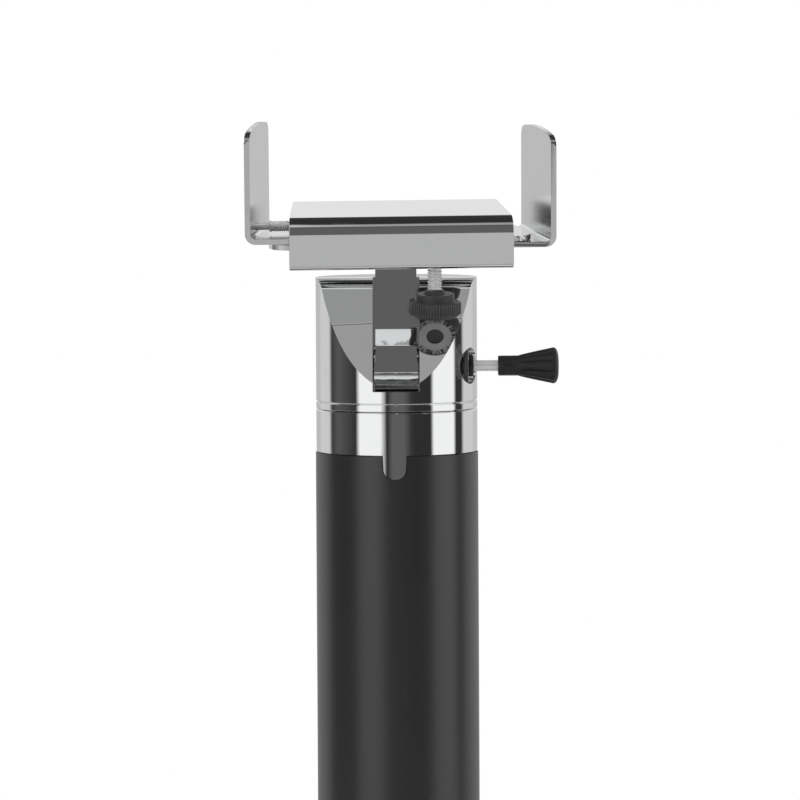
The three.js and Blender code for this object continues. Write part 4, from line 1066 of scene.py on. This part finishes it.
plain = {
    "steel": (steel, [
        "foot_screw_1", "foot_screw_2", "foot_screw_3", "foot_screw_4", "plug_screw_1", "plug_screw_2",
        "plug_screw_3", "swivel_bolt", "swivel_washer", "spring_washer", "tilt_nut", "arm_screw_1",
        "arm_screw_2", "clamp_nut", "stop_pin"]),
    "nylon": (natural_nylon(), ["glide_washer", "slide_guide_lower", "slide_guide_upper"]),
    "brass": (turned_brass(), ["clamp_shoe", "stop_collar"]),
    "black_metal": (black_metal, ["column_plug", "friction_washer_left", "friction_washer_right"]),
}
for material, names in plain.values():
    for name in names:
        node = frame["nodes"][name]
        node.data.materials.clear()
        node.data.materials.append(material)

# ---- Studio -----------------------------------------------------------------------------------
# A white sweep with tall strip lights at the sides and dark flags between them, which is what
# polished metal needs to read as metal. The camera stands back with a long lens.
floor_radius = 0.8
floor = turned("studio_floor", [(0, -0.4), (floor_radius / MM, -0.4)], 128)
floor_paint = Shop("studio_floor_paint")
floor_grain = floor_paint.noise(floor_paint.place(), 6, 2)
floor.data.materials.append(floor_paint.finish(
    Base_Color=floor_paint.mix((0.86, 0.86, 0.86, 1), (0.89, 0.89, 0.89, 1), floor_grain), Roughness=0.6))
floor.visible_glossy = False

world = bpy.data.worlds.new("studio")
world.use_nodes = True
bpy.context.scene.world = world


class Sky(Shop):
    """The studio's surroundings, drawn by direction."""

    def __init__(self, studio):
        self.material = studio
        self.tree = studio.node_tree
        self.shader = self.tree.nodes["Background"]


sky = Sky(world)
split = sky.node(
    "ShaderNodeSeparateXYZ", None, {0: sky.node("ShaderNodeTexCoord", output="Generated")}, "X").socket.node
east, north, up = (Wire(sky, split.outputs[axis]) for axis in ("X", "Y", "Z"))
bearing = sky.node("ShaderNodeMath", {"operation": "ARCTAN2"}, {0: east, 1: 0 - north}) * (180 / math.pi)
rise = sky.node("ShaderNodeMath", {"operation": "ARCSINE"}, {0: up}) * (180 / math.pi)
LIGHT, STRIP, DARK, DEEP, GREY = 0.66, 1.0, 0.035, 0.03, 0.12
panels = [
    (-180, 0.54), (-146, 0.54), (-136, LIGHT), (-113, LIGHT), (-106, 0.05), (-92, 0.1), (-60, DARK),
    (-54, STRIP), (-23, STRIP), (-14, 0.02), (-6, GREY), (10, GREY), (21, 0.04), (27, DEEP), (50, DEEP),
    (55, STRIP), (89, STRIP), (94, DARK), (106, DARK), (112, LIGHT), (136, LIGHT), (146, 0.56), (180, 0.56)]
uprights = sky.node(
    "ShaderNodeValToRGB", {"stops": [((angle + 180) / 360, shade) for angle, shade in panels]},
    {"Fac": (bearing + 180) * (1 / 360)})
front = sky.steps(0 - north, -0.25, 0.25)


def by_rise(stops):
    """A column of brightness from straight down (-90) to straight up (90)."""
    return sky.node(
        "ShaderNodeValToRGB", {"stops": [((angle + 90) / 180, shade) for angle, shade in stops]},
        {"Fac": (rise + 90) * (1 / 180)})


lid_front = by_rise([
    (-90, 0.9), (-72, 0.85), (-67, 0.38), (-45, 0.4), (-30, 0.48), (-10, 0.5), (-5, 0.03),
    (43, 0.03), (47, 0.36), (59, 0.36), (65, 0.03), (90, 0.03)])
lid_back = by_rise([
    (-90, 0.8), (-50, 0.5), (-14, 0.4), (0, 0.5), (10, 0.8), (24, 0.84), (30, 0.5), (36, 0.04), (90, 0.03)])
lid = sky.mix(lid_back, lid_front, front)
upright_top = 8 + front * 33
upright_band = sky.steps(rise, -12, -8) * (1 - sky.steps(rise - upright_top, -3, 3))
off_centre = sky.node("ShaderNodeMath", {"operation": "ABSOLUTE"}, {0: bearing + 0.5})
spot = (1 - sky.steps(off_centre, 5, 8)) * sky.steps(rise, 51, 54)
spot_white = (0.82, 0.82, 0.82, 1)
seen = sky.mix(sky.mix(lid, uprights, upright_band), spot_white, spot)
backdrop = sky.node("ShaderNodeLightPath", output="Is Camera Ray")
sky.finish(Color=sky.mix(seen, (1, 1, 1, 1), backdrop))


def soft_light(name, place, target, width, power):
    """A square soft box that lights without showing in the chrome."""
    data = bpy.data.lights.new(name, "AREA")
    data.size = width
    data.energy = power
    lamp = bpy.data.objects.new(name, data)
    lamp.location = place
    lamp.rotation_euler = (Vector(target) - Vector(place)).to_track_quat("-Z", "Y").to_euler()
    lamp.visible_glossy = False
    bpy.context.scene.collection.objects.link(lamp)


middle = Vector((0, 0, tube_high.z * MM))
soft_light("overhead", (0, -0.3, 2.2), middle, width=2.4, power=60)
soft_light("left_fill", (-1.8, -1.2, 1.2), middle, width=1.4, power=14)
soft_light("right_fill", (1.9, -0.8, 1.0), middle, width=1.4, power=14)

camera_data = bpy.data.cameras.new("camera")
camera_data.sensor_width = 36
camera_data.lens = 223.4
camera_data.clip_end = 20
camera = bpy.data.objects.new("camera", camera_data)
bpy.context.scene.collection.objects.link(camera)
aim = Vector((0.0014, 0, tube_high.z * MM + 0.0219))
swing = math.radians(0.4)
pitch = math.radians(3.46)
roll = math.radians(-0.3)
outward = Vector((math.sin(swing) * math.cos(pitch), -math.cos(swing) * math.cos(pitch), math.sin(pitch)))
stand_off = 2.14
camera.location = aim + outward * stand_off
camera.rotation_euler = (
    (-outward).to_track_quat("-Z", "Y").to_matrix() @ Matrix.Rotation(roll, 3, "Z")).to_euler()
bpy.context.scene.camera = camera
bpy.context.scene.view_settings.view_transform = "Standard"
